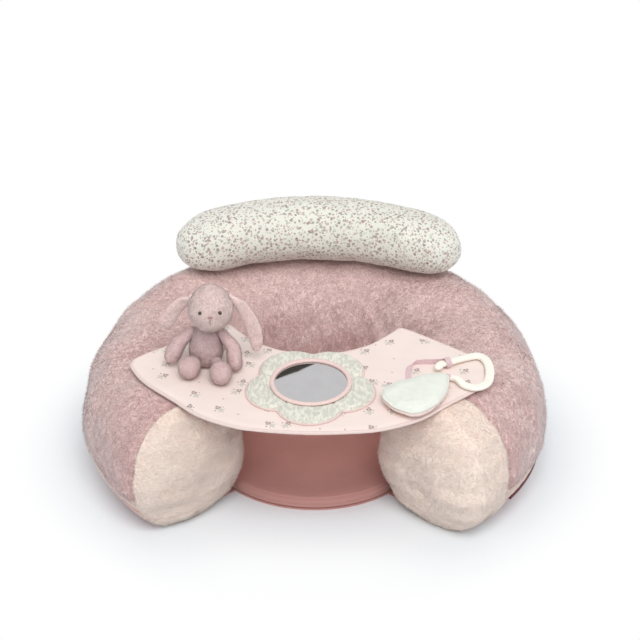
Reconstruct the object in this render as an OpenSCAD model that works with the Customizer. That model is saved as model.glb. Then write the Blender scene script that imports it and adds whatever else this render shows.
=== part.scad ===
// Baby floor seat: an inflated horseshoe cushion in a plush cover, with a
// toy tray across its arms, a bolster on its back and three toys on the tray.
// Millimetres. The origin is on the floor under the centre of the horseshoe,
// +Z is up, the open front faces -Y and +X is to the right.
// Angles round the seat are measured from the back's middle (+Y) towards +X.

/* [Horseshoe cushion] */
// Radius of the cushion's centre line, seen from above
ring_r = 236; // [228:1:244]
// Half of the cushion's width, at its widest height
tube_half = 94; // [88:1:98]
// Height at which the cushion is widest
widest_z = 74; // [70:1:80]
// Depth of the section below its widest height
low_depth = 80; // [76:1:84]
// Height of the cushion at the end of its arms
arm_h = 176.5; // [165:0.5:178]
// Height of the cushion at the middle of its back
back_h = 224; // [200:1:226]
// How late the arms rise into the back
rise_power = 1.6; // [1.2:0.1:2.2]
// Angle from the back's middle to the end of each arm's bend
arm_deg = 134; // [130:1:138]
// Length of each arm's rounded tip
tip_len = 38; // [32:1:44]
// Squareness of the cushion's section and of its tips
section_power = 2.2; // [2:0.1:2.6]

/* [Cover] */
// Thickness of the padded plush
cover_t = 5; // [4:0.5:6]
// Thickness of the smooth band, lining and floor fabrics
fabric_t = 3; // [2:0.5:4]
// Thickness of the non-slip base
base_t = 2; // [1.5:0.5:3]
// Height of the seam between plush and band on the outside
plush_seam_z = 60; // [56:1:66]
// Height of the seam between plush and lining in the hollow
lining_seam_z = 70; // [66:1:73]
// Angle of the seam where the left arm's pale end starts
left_end_deg = 134; // [128:1:134]
// Angle of the seam where the right arm's pale end starts
right_end_deg = 124; // [120:1:130]

/* [Seat floor] */
// Distance from the padded floor's rim to the cushion's centre line
floor_margin = 85; // [83:1:89]
// Thickness of the padded floor, base included
floor_h = 17; // [13:1:20]

/* [Air chamber] */
// Thickness of the chamber's film
film_t = 1; // [0.8:0.1:1.4]
// Diameter of the valve's body
valve_d = 22; // [18:1:26]
// Depth of the valve's body
valve_len = 16; // [13:1:20]

/* [Zip] */
// Height of the zip on the outside of the base
zip_z = 40; // [38:1:43]
// Width of the zip's tape
zip_tape_w = 7; // [6:0.5:8]
// Radius of the zip's coil
zip_coil_r = 1.7; // [1.4:0.1:2]
// Angle at which the zip starts, and its slider rests
zip_start_deg = -86; // [-100:1:-80]
// Angle at which the zip ends
zip_end_deg = 122; // [100:1:122]
// Length of the zip's slider
slider_len = 16; // [12:1:20]
// Length of the slider's pull
pull_len = 19; // [14:1:20]

/* [Tray] */
// Slope of the tray, which rises to the back
tray_tilt = 5; // [3:0.5:6]
// Height of the tray's middle above the arms at its reference point
tray_rise = 11.8; // [11.6:0.1:20]
// Thickness of the tray
tray_t = 6; // [5:0.5:7]
// Width of the binding along the tray's edge
binding_w = 2.6; // [2:0.1:4]
// Size of the fastening patches under the tray
patch_w = 34; // [24:1:40]
// Thickness of each fastening patch
patch_t = 1.4; // [1:0.1:1.6]

/* [Flower mirror] */
// Distance from the flower's middle to the middle of each petal
petal_reach = 44; // [42:1:47]
// Radius of each petal
petal_r = 45.5; // [44:0.5:48]
// Diameter of the visible mirror
mirror_d = 99; // [92:1:101]
// Width of the rim round the mirror
rim_w = 7; // [5:0.5:8]
// Thickness of the flower's padded front
petal_t = 5; // [4:0.5:7]
// Thickness of the flower's pink backing
backing_t = 2.5; // [2:0.5:4]

/* [Bolster] */
// Radius of the bolster's bend, seen from above
roll_bend_r = 415; // [380:5:460]
// Half of the distance between the bolster's ends
roll_half_len = 205; // [195:1:215]
// Half of the bolster's depth, front to back
roll_half_w = 53; // [46:1:56]
// Height of the bolster's upper half
roll_up = 44; // [40:1:50]
// Height of the bolster's lower half
roll_low = 43.2; // [38:0.1:43.3]
// Distance of the bolster's middle in front of the back's crown
roll_ahead = 25; // [20:1:30]
// Height of the bolster's lowest line above the back's crown
roll_rise = -0.2; // [-0.2:0.1:10]
// How far the bolster's ends hang below its middle
roll_droop = 12; // [4:1:14]
// Length over which each end of the bolster rounds off
roll_end = 74; // [60:1:84]

/* [Bunny] */
// Radius of the bunny's belly
belly_r = 24; // [22:0.5:25]
// Height of the bunny's body
body_h = 66; // [62:1:68]
// Half of the head's width
head_half = 30; // [28:0.5:31]
// Half of the head's height
head_up = 34; // [32:0.5:35]
// Radius of the bunny's feet
foot_r = 16; // [13:0.5:16.5]
// Thickness of the ears
ear_t = 7; // [5:0.5:8]
// Diameter of the bunny's eyes
eye_d = 5; // [4:0.5:6]
// Angle through which each leg lifts
leg_swing = 20; // [10:5:25]

/* [Leaf and link] */
// Thickness of the leaf toy
leaf_t = 26; // [20:1:28]
// Thickness of the link's bar
link_t = 7; // [5:0.5:7.5]
// Width of the ribbon
ribbon_w = 8; // [6:0.5:9]

/* [Hidden] */
// Gap between soft pieces that touch on the real seat
gap = 0.3;
// Play between pieces that turn in each other
play = 0.4;
$fn = 64;
eps = 0.01;

// ---------------------------------------------------------------- helpers

function flat(rows) = [for (row = rows) for (item = row) item];
function bend(v, e) = sign(v) * pow(abs(v), e);
function unit(v) = v / norm(v);

// Faces of a skin through rings of n points each. An end with a pole is
// closed by a fan, and an end without one by a flat face.
function skin_faces(m, n, pole_first, pole_last) = concat(
    [for (i = [0 : m - 2]) for (j = [0 : n - 1])
        [i * n + j, (i + 1) * n + j, i * n + (j + 1) % n]],
    [for (i = [0 : m - 2]) for (j = [0 : n - 1])
        [i * n + (j + 1) % n, (i + 1) * n + j, (i + 1) * n + (j + 1) % n]],
    pole_first
        ? [for (j = [0 : n - 1]) [m * n, j, (j + 1) % n]]
        : [[for (j = [0 : n - 1]) j]],
    pole_last
        ? [for (j = [0 : n - 1])
            [m * n + (pole_first ? 1 : 0), (m - 1) * n + (j + 1) % n, (m - 1) * n + j]]
        : [[for (j = [n - 1 : -1 : 0]) (m - 1) * n + j]]
);

module skin(rings, first = undef, last = undef) {
    points = concat(
        flat(rings),
        is_undef(first) ? [] : [first],
        is_undef(last) ? [] : [last]
    );
    polyhedron(points, skin_faces(len(rings), len(rings[0]), !is_undef(first), !is_undef(last)));
}

// One point of a curve that passes through four points in turn
function curve_point(a, b, c, d, t) =
    0.5 * (2 * b + (c - a) * t + (2 * a - 5 * b + 4 * c - d) * t * t
        + (3 * b - a - 3 * c + d) * t * t * t);

function closed_curve(pts, steps) = [
    for (i = [0 : len(pts) - 1]) for (k = [0 : steps - 1])
        curve_point(
            pts[(i + len(pts) - 1) % len(pts)], pts[i],
            pts[(i + 1) % len(pts)], pts[(i + 2) % len(pts)], k / steps
        )
];

// The same outline, moved inwards by d; the outline runs anticlockwise
function inset_outline(pts, d) = [
    for (i = [0 : len(pts) - 1])
        let (
            n = len(pts),
            along = unit(pts[(i + 1) % n] - pts[(i + n - 1) % n])
        )
        pts[i] + d * [-along[1], along[0]]
];

function lift(pts, z) = [for (p = pts) [p[0], p[1], z]];

// A limb, ear or other stuffed tube: oval rings across a bent path. Each row
// of the path is [point, half width, half thickness], and "side" is the
// direction in which the width is measured.
function tube_ring(path, i, side, n) =
    let (
        a = path[max(i - 1, 0)][0],
        b = path[min(i + 1, len(path) - 1)][0],
        along = unit(b - a),
        wide = unit(side - (side * along) * along),
        thick = cross(along, wide)
    )
    [for (j = [0 : n - 1]) path[i][0]
        + path[i][1] * cos(360 * j / n) * wide
        + path[i][2] * sin(360 * j / n) * thick];

module stuffed_tube(path, side, n = 12) {
    last = len(path) - 1;
    rings = [for (i = [1 : last - 1]) tube_ring(path, i, side, n)];
    skin(rings, path[0][0], path[last][0]);
}

// --------------------------------------------------- shape of the cushion

function ring_top(deg) = arm_h + (back_h - arm_h) * pow((1 + cos(deg)) / 2, rise_power);

// Distance of the section's lower half from the centre line at a height
function side_x(z, inset = 0) =
    (tube_half - inset)
    * pow(max(0, 1 - pow((widest_z - z) / (low_depth - inset), section_power)), 1 / section_power);

// Angle in the section at which its lower half reaches a height
function low_angle(z, inset) =
    asin(pow((widest_z - z) / (low_depth - inset), section_power / 2));

// A point of the cushion's skin: "deg" runs round the seat, "tip" from 0 to
// 90 degrees over an arm's rounded tip, "th" round the section from its
// outer side over the top
function ring_point(deg, tip, th, inset, floor_z) =
    let (
        k = pow(cos(tip), 2 / section_power),
        over = (tip_len - inset) * pow(sin(tip), 2 / section_power),
        x = (tube_half - inset) * k * bend(cos(th), 2 / section_power),
        half = sin(th) >= 0 ? ring_top(deg) - widest_z - inset : (low_depth - inset) * k,
        z = widest_z + half * k * bend(sin(th), 2 / section_power),
        out = [sin(deg), cos(deg)],
        ahead = sign(deg) * [cos(deg), -sin(deg)],
        p = (ring_r + x) * out + over * ahead
    )
    [p[0], p[1], max(z, floor_z)];

function full_ring(deg, tip, n, inset, floor_z) = [
    for (j = [0 : n - 1]) ring_point(deg, tip, 360 * (j + 0.5) / n, inset, floor_z)
];

function tip_pole(deg, inset) = ring_point(deg, 90, 0, inset, base_t);

// Angles round the seat of the plush cover's rings
cover_steps = 33;
cover_degs = [
    for (i = [0 : cover_steps])
        -left_end_deg + (left_end_deg + right_end_deg) * i / cover_steps
];
tip_steps = [25, 45, 62, 77];

// A sector of a revolved profile, from one angle round the seat to another
module sweep_round(from_deg, to_deg) {
    rotate([0, 0, 90 - to_deg])
        rotate_extrude(angle = to_deg - from_deg, $fn = 128)
            children();
}

// Profile of a fabric band that follows the section's lower half
module band_profile(z_low, z_high, t) {
    steps = 6;
    outer = [for (i = [0 : steps])
        let (z = z_low + (z_high - z_low) * i / steps) [ring_r + side_x(z), z]];
    inner = [for (i = [steps : -1 : 0])
        let (z = z_low + (z_high - z_low) * i / steps) [ring_r + side_x(z, t), z]];
    polygon(concat(outer, inner));
}

// ------------------------------------------------------------ the cushion

chamber_play = 2;
chamber_inset = cover_t + chamber_play;
chamber_floor = base_t + 1.5 + gap;
valve_z = widest_z;
valve_face_y = ring_r + tube_half - chamber_inset - 1.2;

module chamber_skin(inset, floor_z) {
    n = 12;
    arc_degs = concat(cover_degs[0] > -arm_deg ? [-arm_deg] : [], cover_degs,
        right_end_deg < arm_deg ? [arm_deg] : []);
    rings = concat(
        [for (i = [3 : -1 : 0]) full_ring(-arm_deg, tip_steps[i], n, inset, floor_z)],
        [for (d = arc_degs) full_ring(d, 0, n, inset, floor_z)],
        [for (i = [0 : 3]) full_ring(arm_deg, tip_steps[i], n, inset, floor_z)]
    );
    skin(rings, tip_pole(-arm_deg, inset), tip_pole(arm_deg, inset));
}

module air_chamber() {
    color("lightgray") difference() {
        chamber_skin(chamber_inset, chamber_floor);
        chamber_skin(chamber_inset + film_t, chamber_floor + film_t);
        translate([0, valve_face_y + 10, valve_z])
            rotate([90, 0, 0]) cylinder(d = valve_d + 2 * gap, h = 30);
    }
}

// A recessed valve whose cap turns in its mouth
cap_d = valve_d - 7;
cap_depth = 5;

module valve_body() {
    color("whitesmoke") translate([0, valve_face_y, valve_z]) rotate([90, 0, 0])
        difference() {
            union() {
                cylinder(d = valve_d, h = valve_len);
                translate([0, 0, 5]) cylinder(d = valve_d + 8, h = 2);
            }
            translate([0, 0, -eps]) cylinder(d = cap_d + 2 * play, h = cap_depth + play);
            cylinder(d = cap_d - 5, h = valve_len + 1);
        }
}

module valve_cap() {
    color("silver") translate([0, valve_face_y, valve_z]) rotate([90, 0, 0])
        difference() {
            cylinder(d = cap_d, h = cap_depth);
            translate([0, 0, -eps]) cylinder(d = cap_d - 4, h = 2);
        }
}

// Plush from the outer seam over the crown and down into the hollow
module back_cover() {
    spans = 16;
    inner_floor = base_t;
    rings = [for (deg = cover_degs) concat(
        [for (i = [0 : spans])
            let (a = low_angle(plush_seam_z, 0), b = low_angle(lining_seam_z, 0))
            ring_point(deg, 0, -a + (180 + a + b) * i / spans, 0, inner_floor)],
        [for (i = [spans : -1 : 0])
            let (a = low_angle(plush_seam_z, cover_t), b = low_angle(lining_seam_z, cover_t))
            ring_point(deg, 0, -a + (180 + a + b) * i / spans, cover_t, inner_floor)]
    )];
    color("rosybrown") skin(rings);
}

// Pale plush end of an arm, from its seam round the tip; "way" is 1 on the
// right and -1 on the left
module arm_end(end_deg, way) {
    n = 22;
    degs = end_deg < arm_deg ? [end_deg, arm_deg] : [end_deg];
    outer = concat(
        [for (i = [3 : -1 : 0]) full_ring(way * arm_deg, tip_steps[i], n, 0, base_t)],
        [for (i = [len(degs) - 1 : -1 : 0]) full_ring(way * degs[i], 0, n, 0, base_t)]
    );
    inner = concat(
        [for (d = degs) full_ring(way * d, 0, n, cover_t, base_t + 1.5)],
        [for (i = [0 : 3]) full_ring(way * arm_deg, tip_steps[i], n, cover_t, base_t + 1.5)]
    );
    rings = concat(outer, inner);
    first = tip_pole(way * arm_deg, 0);
    last = tip_pole(way * arm_deg, cover_t);
    color("antiquewhite")
        if (way > 0) mirror([1, 0, 0]) skin([for (r = rings) [for (p = r) [-p[0], p[1], p[2]]]],
            [-first[0], first[1], first[2]], [-last[0], last[1], last[2]]);
        else skin(rings, first, last);
}

module arm_end_left() {
    arm_end(left_end_deg, -1);
}

module arm_end_right() {
    arm_end(right_end_deg, 1);
}

// ----------------------------------------------------- lining and base

floor_r = ring_r - floor_margin;
lining_top_r = ring_r - side_x(lining_seam_z);

module seat_lining() {
    low_r = floor_r + gap;
    mid_z = (lining_seam_z + floor_h) / 2;
    mid_r = (lining_top_r + low_r) / 2 - 2;
    color("indianred") sweep_round(-left_end_deg, right_end_deg)
        polygon([
            [low_r, base_t], [low_r + fabric_t, base_t],
            [mid_r + fabric_t, mid_z], [lining_top_r + fabric_t, lining_seam_z],
            [lining_top_r, lining_seam_z], [mid_r, mid_z], [low_r, floor_h]
        ]);
}

module side_band() {
    color("tan") sweep_round(-left_end_deg, right_end_deg)
        band_profile(zip_z + zip_tape_w / 2, plush_seam_z, fabric_t);
}

module base_band() {
    color("darksalmon") sweep_round(-left_end_deg, right_end_deg)
        band_profile(base_t, zip_z - zip_tape_w / 2, fabric_t);
}

module base_panel() {
    foot = side_x(base_t);
    color("dimgray") linear_extrude(base_t) {
        circle(r = floor_r, $fn = 128);
        difference() {
            circle(r = ring_r + foot, $fn = 128);
            polygon([
                [0, 0],
                600 * [sin(arm_deg), cos(arm_deg)],
                [0, -900],
                600 * [-sin(arm_deg), cos(arm_deg)]
            ]);
        }
        for (way = [-1, 1])
            translate(ring_r * [way * sin(arm_deg), cos(arm_deg)]) circle(r = foot - 33);
    }
}

// The floor is a crowned foam disc under a fabric that rolls over its rim
floor_rim = 5;

module floor_foam() {
    foam_r = floor_r - fabric_t;
    top = floor_h - fabric_t;
    color("khaki") translate([0, 0, base_t]) rotate_extrude($fn = 128)
        polygon([
            [0, 0], [foam_r, 0], [foam_r, top - base_t - floor_rim],
            [foam_r - floor_rim * 0.3, top - base_t - floor_rim * 0.3],
            [foam_r - floor_rim, top - base_t], [0, top - base_t]
        ]);
}

module floor_cover() {
    foam_r = floor_r - fabric_t;
    top = floor_h - fabric_t;
    color("indianred") rotate_extrude($fn = 128)
        polygon([
            [foam_r, base_t], [floor_r, base_t], [floor_r, floor_h - floor_rim - 1],
            [floor_r - floor_rim * 0.35, floor_h - floor_rim * 0.35],
            [floor_r - floor_rim - 1, floor_h], [0, floor_h],
            [0, top], [foam_r - floor_rim, top],
            [foam_r - floor_rim * 0.3, top - floor_rim * 0.3],
            [foam_r, top - floor_rim]
        ]);
}

// ------------------------------------------------------------------- zip

// The zip's own frame in the section: x points out of the skin, y up it
zip_r = ring_r + side_x(zip_z);
zip_lean = atan((side_x(zip_z + 1) - side_x(zip_z - 1)) / 2);
coil_out = 0.9;
tape_out = coil_out - zip_coil_r;
slider_out = coil_out + zip_coil_r + play + 1.2;
slider_half = zip_coil_r + play + 1.4;
slider_deg = slider_len / zip_r * 180 / PI;
slider_mid_deg = zip_start_deg + slider_deg / 2 + 1;

module zip_frame() {
    translate([zip_r, zip_z]) rotate(-zip_lean) children();
}

module zip_tape() {
    color("saddlebrown") sweep_round(zip_start_deg, zip_end_deg) zip_frame()
        translate([tape_out - 1.4, -zip_tape_w / 2 + gap])
            square([1.4, zip_tape_w - 2 * gap - 0.5]);
}

module zip_coil() {
    color("maroon") sweep_round(zip_start_deg, zip_end_deg) zip_frame()
        translate([coil_out, 0]) circle(r = zip_coil_r, $fn = 24);
}

module zip_slider() {
    color("silver") sweep_round(zip_start_deg + 1, zip_start_deg + 1 + slider_deg) zip_frame()
        difference() {
            translate([tape_out + play, -slider_half])
                square([slider_out - tape_out - play, 2 * slider_half]);
            translate([tape_out, -zip_coil_r - play])
                square([coil_out - tape_out, 2 * (zip_coil_r + play)]);
            translate([coil_out, 0]) circle(r = zip_coil_r + play, $fn = 24);
        }
    color("silver") at_slider() difference() {
        for (side = [-1, 1]) translate([0, side * 2.6, 0]) rotate([90, 0, 0])
            translate([0, 0, -0.6]) union() {
                cylinder(d = lug_d, h = 1.2);
                translate([-lug_reach, -lug_d / 2, 0]) cube([lug_reach, lug_d, 1.2]);
            }
        rotate([90, 0, 0]) translate([0, 0, -5]) cylinder(d = pin_d, h = 10);
    }
}

pin_d = 1.4;
lug_d = 3.6;
lug_reach = 2.6;
pin_out = slider_out + lug_reach - 0.1;
pin_r = zip_r + pin_out * cos(zip_lean);
pin_z = zip_z - pin_out * sin(zip_lean) + 1;

// Frame of the pull's pin: +X radially out, +Y back round the seat
module at_slider() {
    rotate([0, 0, 90 - slider_mid_deg]) translate([pin_r, 0, pin_z]) children();
}

module slider_pin() {
    color("silver") at_slider() rotate([90, 0, 0])
        translate([0, 0, -3.2]) cylinder(d = pin_d, h = 6.4);
}

module zip_pull() {
    eye_w = 3.2;
    color("silver") at_slider() difference() {
        union() {
            rotate([90, 0, 0]) translate([0, 0, -eye_w / 2])
                cylinder(d = pin_d + 2 * gap + 1.6, h = eye_w);
            translate([-0.7, -eye_w / 2, -5]) cube([1.4, eye_w, 4]);
            translate([-0.7, -3.5, -pull_len]) cube([1.4, 7, pull_len - 4.5]);
        }
        rotate([90, 0, 0]) translate([0, 0, -5]) cylinder(d = pin_d + 2 * gap, h = 10);
        translate([-5, -1.5, 4 - pull_len]) cube([10, 3, pull_len - 12]);
    }
}

// ------------------------------------------------------------------ tray

tray_z = arm_h + tray_rise;
tray_ref_y = -116;
// Right half of the tray's outline from its front to its back, in the
// tray's own plane
tray_half_outline = [
    [0, -123], [60, -119], [100, -111], [147, -88], [184, -54], [225, -15],
    [245, 15], [250, 33], [239, 51], [188, 90], [134, 128], [120, 132],
    [109, 120], [88, 97], [70, 83], [40, 69]
];
tray_outline = closed_curve(
    concat(
        tray_half_outline, [[0, 63]],
        [for (i = [len(tray_half_outline) - 1 : -1 : 1])
            [-tray_half_outline[i][0], tray_half_outline[i][1]]]
    ), 3
);
under_t = 1;
top_sheet_t = 1.4;

module on_tray(x = 0, y = 0, up = 0) {
    translate([0, tray_ref_y, tray_z]) rotate([tray_tilt, 0, 0])
        translate([x, y, up]) children();
}

// Height of the tray's upper face above a point of the floor
function tray_face(y, up = 0) =
    tray_z + (tray_t / 2 + up) / cos(tray_tilt) + (y - tray_ref_y) * tan(tray_tilt);

module tray_board() {
    color("wheat") on_tray(up = -tray_t / 2 + under_t)
        linear_extrude(tray_t - under_t - top_sheet_t)
            polygon(inset_outline(tray_outline, binding_w + gap));
}

module tray_underside() {
    color("indianred") on_tray(up = -tray_t / 2) linear_extrude(under_t)
        polygon(inset_outline(tray_outline, binding_w));
}

module tray_top() {
    base = tray_t / 2 - top_sheet_t;
    rings = [
        lift(inset_outline(tray_outline, binding_w), base),
        lift(inset_outline(tray_outline, binding_w), base + 0.7),
        lift(inset_outline(tray_outline, binding_w + 3), tray_t / 2)
    ];
    color("mistyrose") on_tray() mirror([0, 0, 1])
        skin([for (r = rings) [for (p = r) [p[0], p[1], -p[2]]]]);
}

module tray_binding() {
    n = len(tray_outline);
    inner = inset_outline(tray_outline, binding_w);
    low = -tray_t / 2;
    high = tray_t / 2 - 0.9;
    points = [for (i = [0 : n - 1])
        for (p = [[tray_outline[i], low], [tray_outline[i], high], [inner[i], high], [inner[i], low]])
            [p[0][0], p[0][1], p[1]]];
    faces = [for (i = [0 : n - 1]) for (j = [0 : 3])
        let (here = 4 * i, next = 4 * ((i + 1) % n), k = (j + 1) % 4)
        each [[here + j, here + k, next + k], [here + j, next + k, next + j]]];
    color("pink") on_tray() polyhedron(points, faces);
}

// Hook patches under the tray and loop patches on the arms' crowns
patch_deg = 118;
patch_x = ring_r * sin(patch_deg);
patch_y = (ring_r * cos(patch_deg) - tray_ref_y) / cos(tray_tilt);

module patch_block(up, h) {
    for (way = [-1, 1])
        on_tray(way * patch_x - patch_w / 2, patch_y - patch_w / 2, up)
            cube([patch_w, patch_w, h]);
}

module tray_patches() {
    color("gainsboro") patch_block(-tray_t / 2 - patch_t, patch_t);
}

module seat_patches() {
    top = -tray_t / 2 - patch_t - gap;
    color("gainsboro") difference() {
        patch_block(top - 8, 8);
        back_solid(0.02);
    }
}

// The cushion's full outer shape over the arms, without its hollow
module back_solid(grow) {
    for (way = [-1, 1]) {
        side = [for (d = cover_degs) if (way * d > 90) d];
        spans = 16;
        a = low_angle(plush_seam_z, 0);
        b = low_angle(lining_seam_z, 0);
        skin([for (deg = side) [for (i = [0 : spans])
            ring_point(deg, 0, -a + (180 + a + b) * i / spans, -grow, base_t)]]);
    }
}

// ---------------------------------------------------------- flower mirror

flower_y = -20;
flower_up = tray_t / 2 + gap;
flower_turn = -90;
rim_t = 2.4;
mirror_t = 2;

function flower_r(a) =
    let (off = abs(((a % 72) + 72) % 72 - 36), from_petal = 36 - off)
    petal_reach * cos(from_petal)
    + sqrt(petal_r * petal_r - pow(petal_reach * sin(from_petal), 2));

flower_outline = [for (i = [0 : 59])
    let (a = 6 * i, r = flower_r(a)) r * [cos(a + flower_turn), sin(a + flower_turn)]];

module on_flower(up) {
    on_tray(0, flower_y, flower_up + up) children();
}

module flower_backing() {
    color("pink") on_flower(0) linear_extrude(backing_t) polygon(flower_outline);
}

module flower_front() {
    shape = [[0.8, 0], [0, 0.35], [1.6, 0.8], [8, 1]];
    rings = [for (s = shape) lift(inset_outline(flower_outline, s[0]), petal_t * s[1])];
    color("honeydew") on_flower(backing_t) difference() {
        mirror([0, 0, 1]) skin([for (r = rings) [for (p = r) [p[0], p[1], -p[2]]]]);
        translate([0, 0, petal_t - rim_t]) cylinder(d = mirror_d + 2 * rim_w, h = 9, $fn = 128);
    }
}

module mirror_rim() {
    color("pink") on_flower(backing_t + petal_t - rim_t) difference() {
        cylinder(d = mirror_d + 2 * rim_w, h = rim_t + 0.8, $fn = 128);
        translate([0, 0, -1]) cylinder(d = mirror_d - 4, h = 9, $fn = 128);
        translate([0, 0, -eps]) cylinder(d = mirror_d + 2, h = mirror_t + eps, $fn = 128);
        translate([0, 0, 0.5]) cylinder(d = mirror_d, h = 9, $fn = 128);
    }
}

module mirror_plate() {
    color("lightsteelblue") on_flower(backing_t + petal_t - rim_t)
        cylinder(d = mirror_d + 2, h = mirror_t, $fn = 128);
}

// --------------------------------------------------------------- bolster

roll_y = ring_r - roll_ahead;
roll_z = back_h + roll_low + roll_rise;

module bolster_skin(inset) {
    n = 18;
    ends = [80, 64, 46, 26];
    end_len = roll_end - inset;
    straight = roll_half_len - roll_end;
    places = concat(
        [for (e = ends) [-straight - end_len * pow(sin(e), 2 / 2.3), pow(cos(e), 2 / 2.3)]],
        [for (i = [-4 : 4]) [straight * i / 4, 1]],
        [for (i = [3 : -1 : 0])
            [straight + end_len * pow(sin(ends[i]), 2 / 2.3), pow(cos(ends[i]), 2 / 2.3)]]
    );
    rings = [for (p = places) bolster_ring(p[0], p[1], inset, n)];
    skin(rings, bolster_middle(-straight - end_len), bolster_middle(straight + end_len));
}

function bolster_middle(x) =
    let (a = asin(x / roll_bend_r))
    [
        x,
        roll_y - roll_bend_r * (1 - cos(a)),
        roll_z - roll_droop * pow(x / (0.86 * roll_half_len), 2)
    ];

function bolster_ring(x, k, inset, n) =
    let (a = asin(x / roll_bend_r), mid = bolster_middle(x), across = [sin(a), cos(a), 0])
    [for (j = [0 : n - 1])
        let (
            th = 360 * j / n,
            w = (roll_half_w - inset) * k * bend(cos(th), 0.92),
            h = ((sin(th) > 0 ? roll_up : roll_low) - inset) * k * bend(sin(th), 0.92)
        )
        mid + w * across + [0, 0, h]];

module bolster_cover() {
    color("lavenderblush") difference() {
        bolster_skin(0);
        bolster_skin(2);
    }
}

module bolster_filling() {
    color("white") bolster_skin(2 + gap);
}

// ----------------------------------------------------------------- bunny

bunny_x = -146;
bunny_y = -82;
head_at = [9, -10, 91];
ear_root_r = 6;
arm_root_r = 8;
leg_root_r = 9.5;
left_shoulder = [-18.2, 1, 50];
right_shoulder = [19.8, 1, 50];
left_hip = [-13, -10, 11];
right_hip = [13, -12, 11];
left_ear_root = [-18.6, -3, 101];
right_ear_root = [37.6, -3, 101];

module on_bunny() {
    translate([bunny_x, bunny_y, tray_face(bunny_y)]) children();
}

// Everything below the face of the tray, with its gap, which cuts the
// bunny's pieces flat where they sit
module below_tray_face() {
    translate([-bunny_x, -bunny_y, -tray_face(bunny_y)])
        on_tray(-300, -120, tray_t / 2 + gap - 60) cube([300, 200, 60]);
}

module body_form(grow) {
    outline = [
        [0, 0], [11, 0], [18, 3], [belly_r - 2, 10], [belly_r, 19], [belly_r - 1, 30],
        [belly_r - 5, 44], [14, 56], [9, body_h], [0, body_h]
    ];
    rotate_extrude()
        polygon([for (p = outline) [p[0] == 0 ? 0 : p[0] + grow, p[1] + grow * sign(p[1] - belly_r)]]);
}

module bunny_body() {
    color("rosybrown") on_bunny() difference() {
        body_form(0);
        head_form(gap);
        translate(left_shoulder) sphere(arm_root_r + gap);
        translate(right_shoulder) sphere(arm_root_r + gap);
        translate(left_hip) sphere(leg_root_r + gap);
        translate(right_hip) sphere(leg_root_r + gap);
        below_tray_face();
    }
}

// The head is an upright egg, a little wider at the cheeks
module head_form(grow) {
    steps = 14;
    translate(head_at) rotate_extrude()
        polygon([for (i = [0 : steps])
            let (a = -90 + 180 * i / steps, cheek = 1 + 0.06 * cos(2 * (a + 20)))
            [(i == 0 || i == steps) ? 0 : (head_half * cheek + grow) * cos(a),
                (head_up + grow) * sin(a)]]);
}

module bunny_head() {
    color("thistle") on_bunny() difference() {
        head_form(0);
        translate(left_ear_root) sphere(ear_root_r + gap);
        translate(right_ear_root) sphere(ear_root_r + gap);
    }
}

// Where a line from the front meets the head, at a height above its middle
function face_point(x, up) =
    let (
        ring = head_half * cos(asin(up / head_up)) * (1 + 0.06 * cos(2 * (asin(up / head_up) + 20)))
    )
    head_at + [x, -sqrt(ring * ring - x * x), up];

// Frame on the head's skin, with +Z out of it
module on_face(x, up) {
    p = face_point(x, up);
    d = p - head_at;
    out = unit([d[0], d[1], d[2] * pow(head_half / head_up, 2)]);
    translate(p + 0.1 * out) rotate([0, acos(out[2]), atan2(out[1], out[0])]) children();
}

// A domed button of a given radius and height
module dome(r, h) {
    rotate_extrude($fn = 24)
        polygon(concat([[0, 0]], [for (a = [0 : 15 : 90]) [r * cos(a), h * sin(a)]]));
}

eye_x = 13.5;
eye_up = 5.5;
head_turn_x = -1;
nose_up = -0.5;

module bunny_eyes() {
    color("black") on_bunny() for (way = [-1, 1])
        on_face(way * eye_x + head_turn_x, eye_up) dome(eye_d / 2, 1.8);
}

module bunny_nose() {
    color("palevioletred") on_bunny() on_face(head_turn_x, nose_up) dome(3.6, 2);
}

// Rows of a path for the ball at a limb's root, which turns in its socket
function ball_rows(root, r, start) = [for (a = [90, 60, 30, 0, -30, -60])
    [root - r * sin(a) * start, r * cos(a), r * cos(a)]];

// An ear hangs from the ball at its root, broad all the way to its round tip
module ear(root, tip, sag) {
    along = tip - root;
    top = root + 0.2 * along + 0.7 * sag;
    path = [
        each ball_rows(root, ear_root_r, unit(top - root)),
        [top, 8.6, ear_t / 2],
        [root + 0.5 * along + sag, 10.2, ear_t / 2],
        [root + 0.78 * along + 0.6 * sag, 9.8, ear_t / 2],
        [root + 0.94 * along + 0.15 * sag, 6.4, 2.6],
        [tip, 0, 0]
    ];
    color("thistle") on_bunny() stuffed_tube(path, [1, 0, 0]);
}

module ear_left() {
    ear(left_ear_root, [-58.5, 8, 44], [-6.5, 1, 4]);
}

module ear_right() {
    ear(right_ear_root, [70, 2, 14], [10, 1, 5]);
}

// An arm leaves the ball at its root, bends at the elbow and ends in a paw
module arm(root, elbow, elbow_r, hand, hand_r) {
    away = unit(hand - elbow);
    start = unit(elbow - root);
    path = [
        each ball_rows(root, arm_root_r, start),
        [elbow, elbow_r, elbow_r],
        [hand - 0.3 * hand_r * away, hand_r, hand_r],
        [hand + 0.45 * hand_r * away, 0.85 * hand_r, 0.85 * hand_r],
        [hand + 0.85 * hand_r * away, 0.45 * hand_r, 0.45 * hand_r],
        [hand + hand_r * away, 0, 0]
    ];
    color("rosybrown") on_bunny() stuffed_tube(path, [0, 1, 0.2]);
}

module arm_left() {
    arm(left_shoulder, [-36.4, -5, 32.5], 10.4, [-46, -11, 16], 11.8);
}

module arm_right() {
    arm(right_shoulder, [38, -9, 29], 10.4, [41.5, -23, 12.4], 11);
}

module leg_left() {
    leg(left_hip, [-20, -37, 12.8]);
}

module leg_right() {
    leg(right_hip, [24, -49, 11.7]);
}

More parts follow.
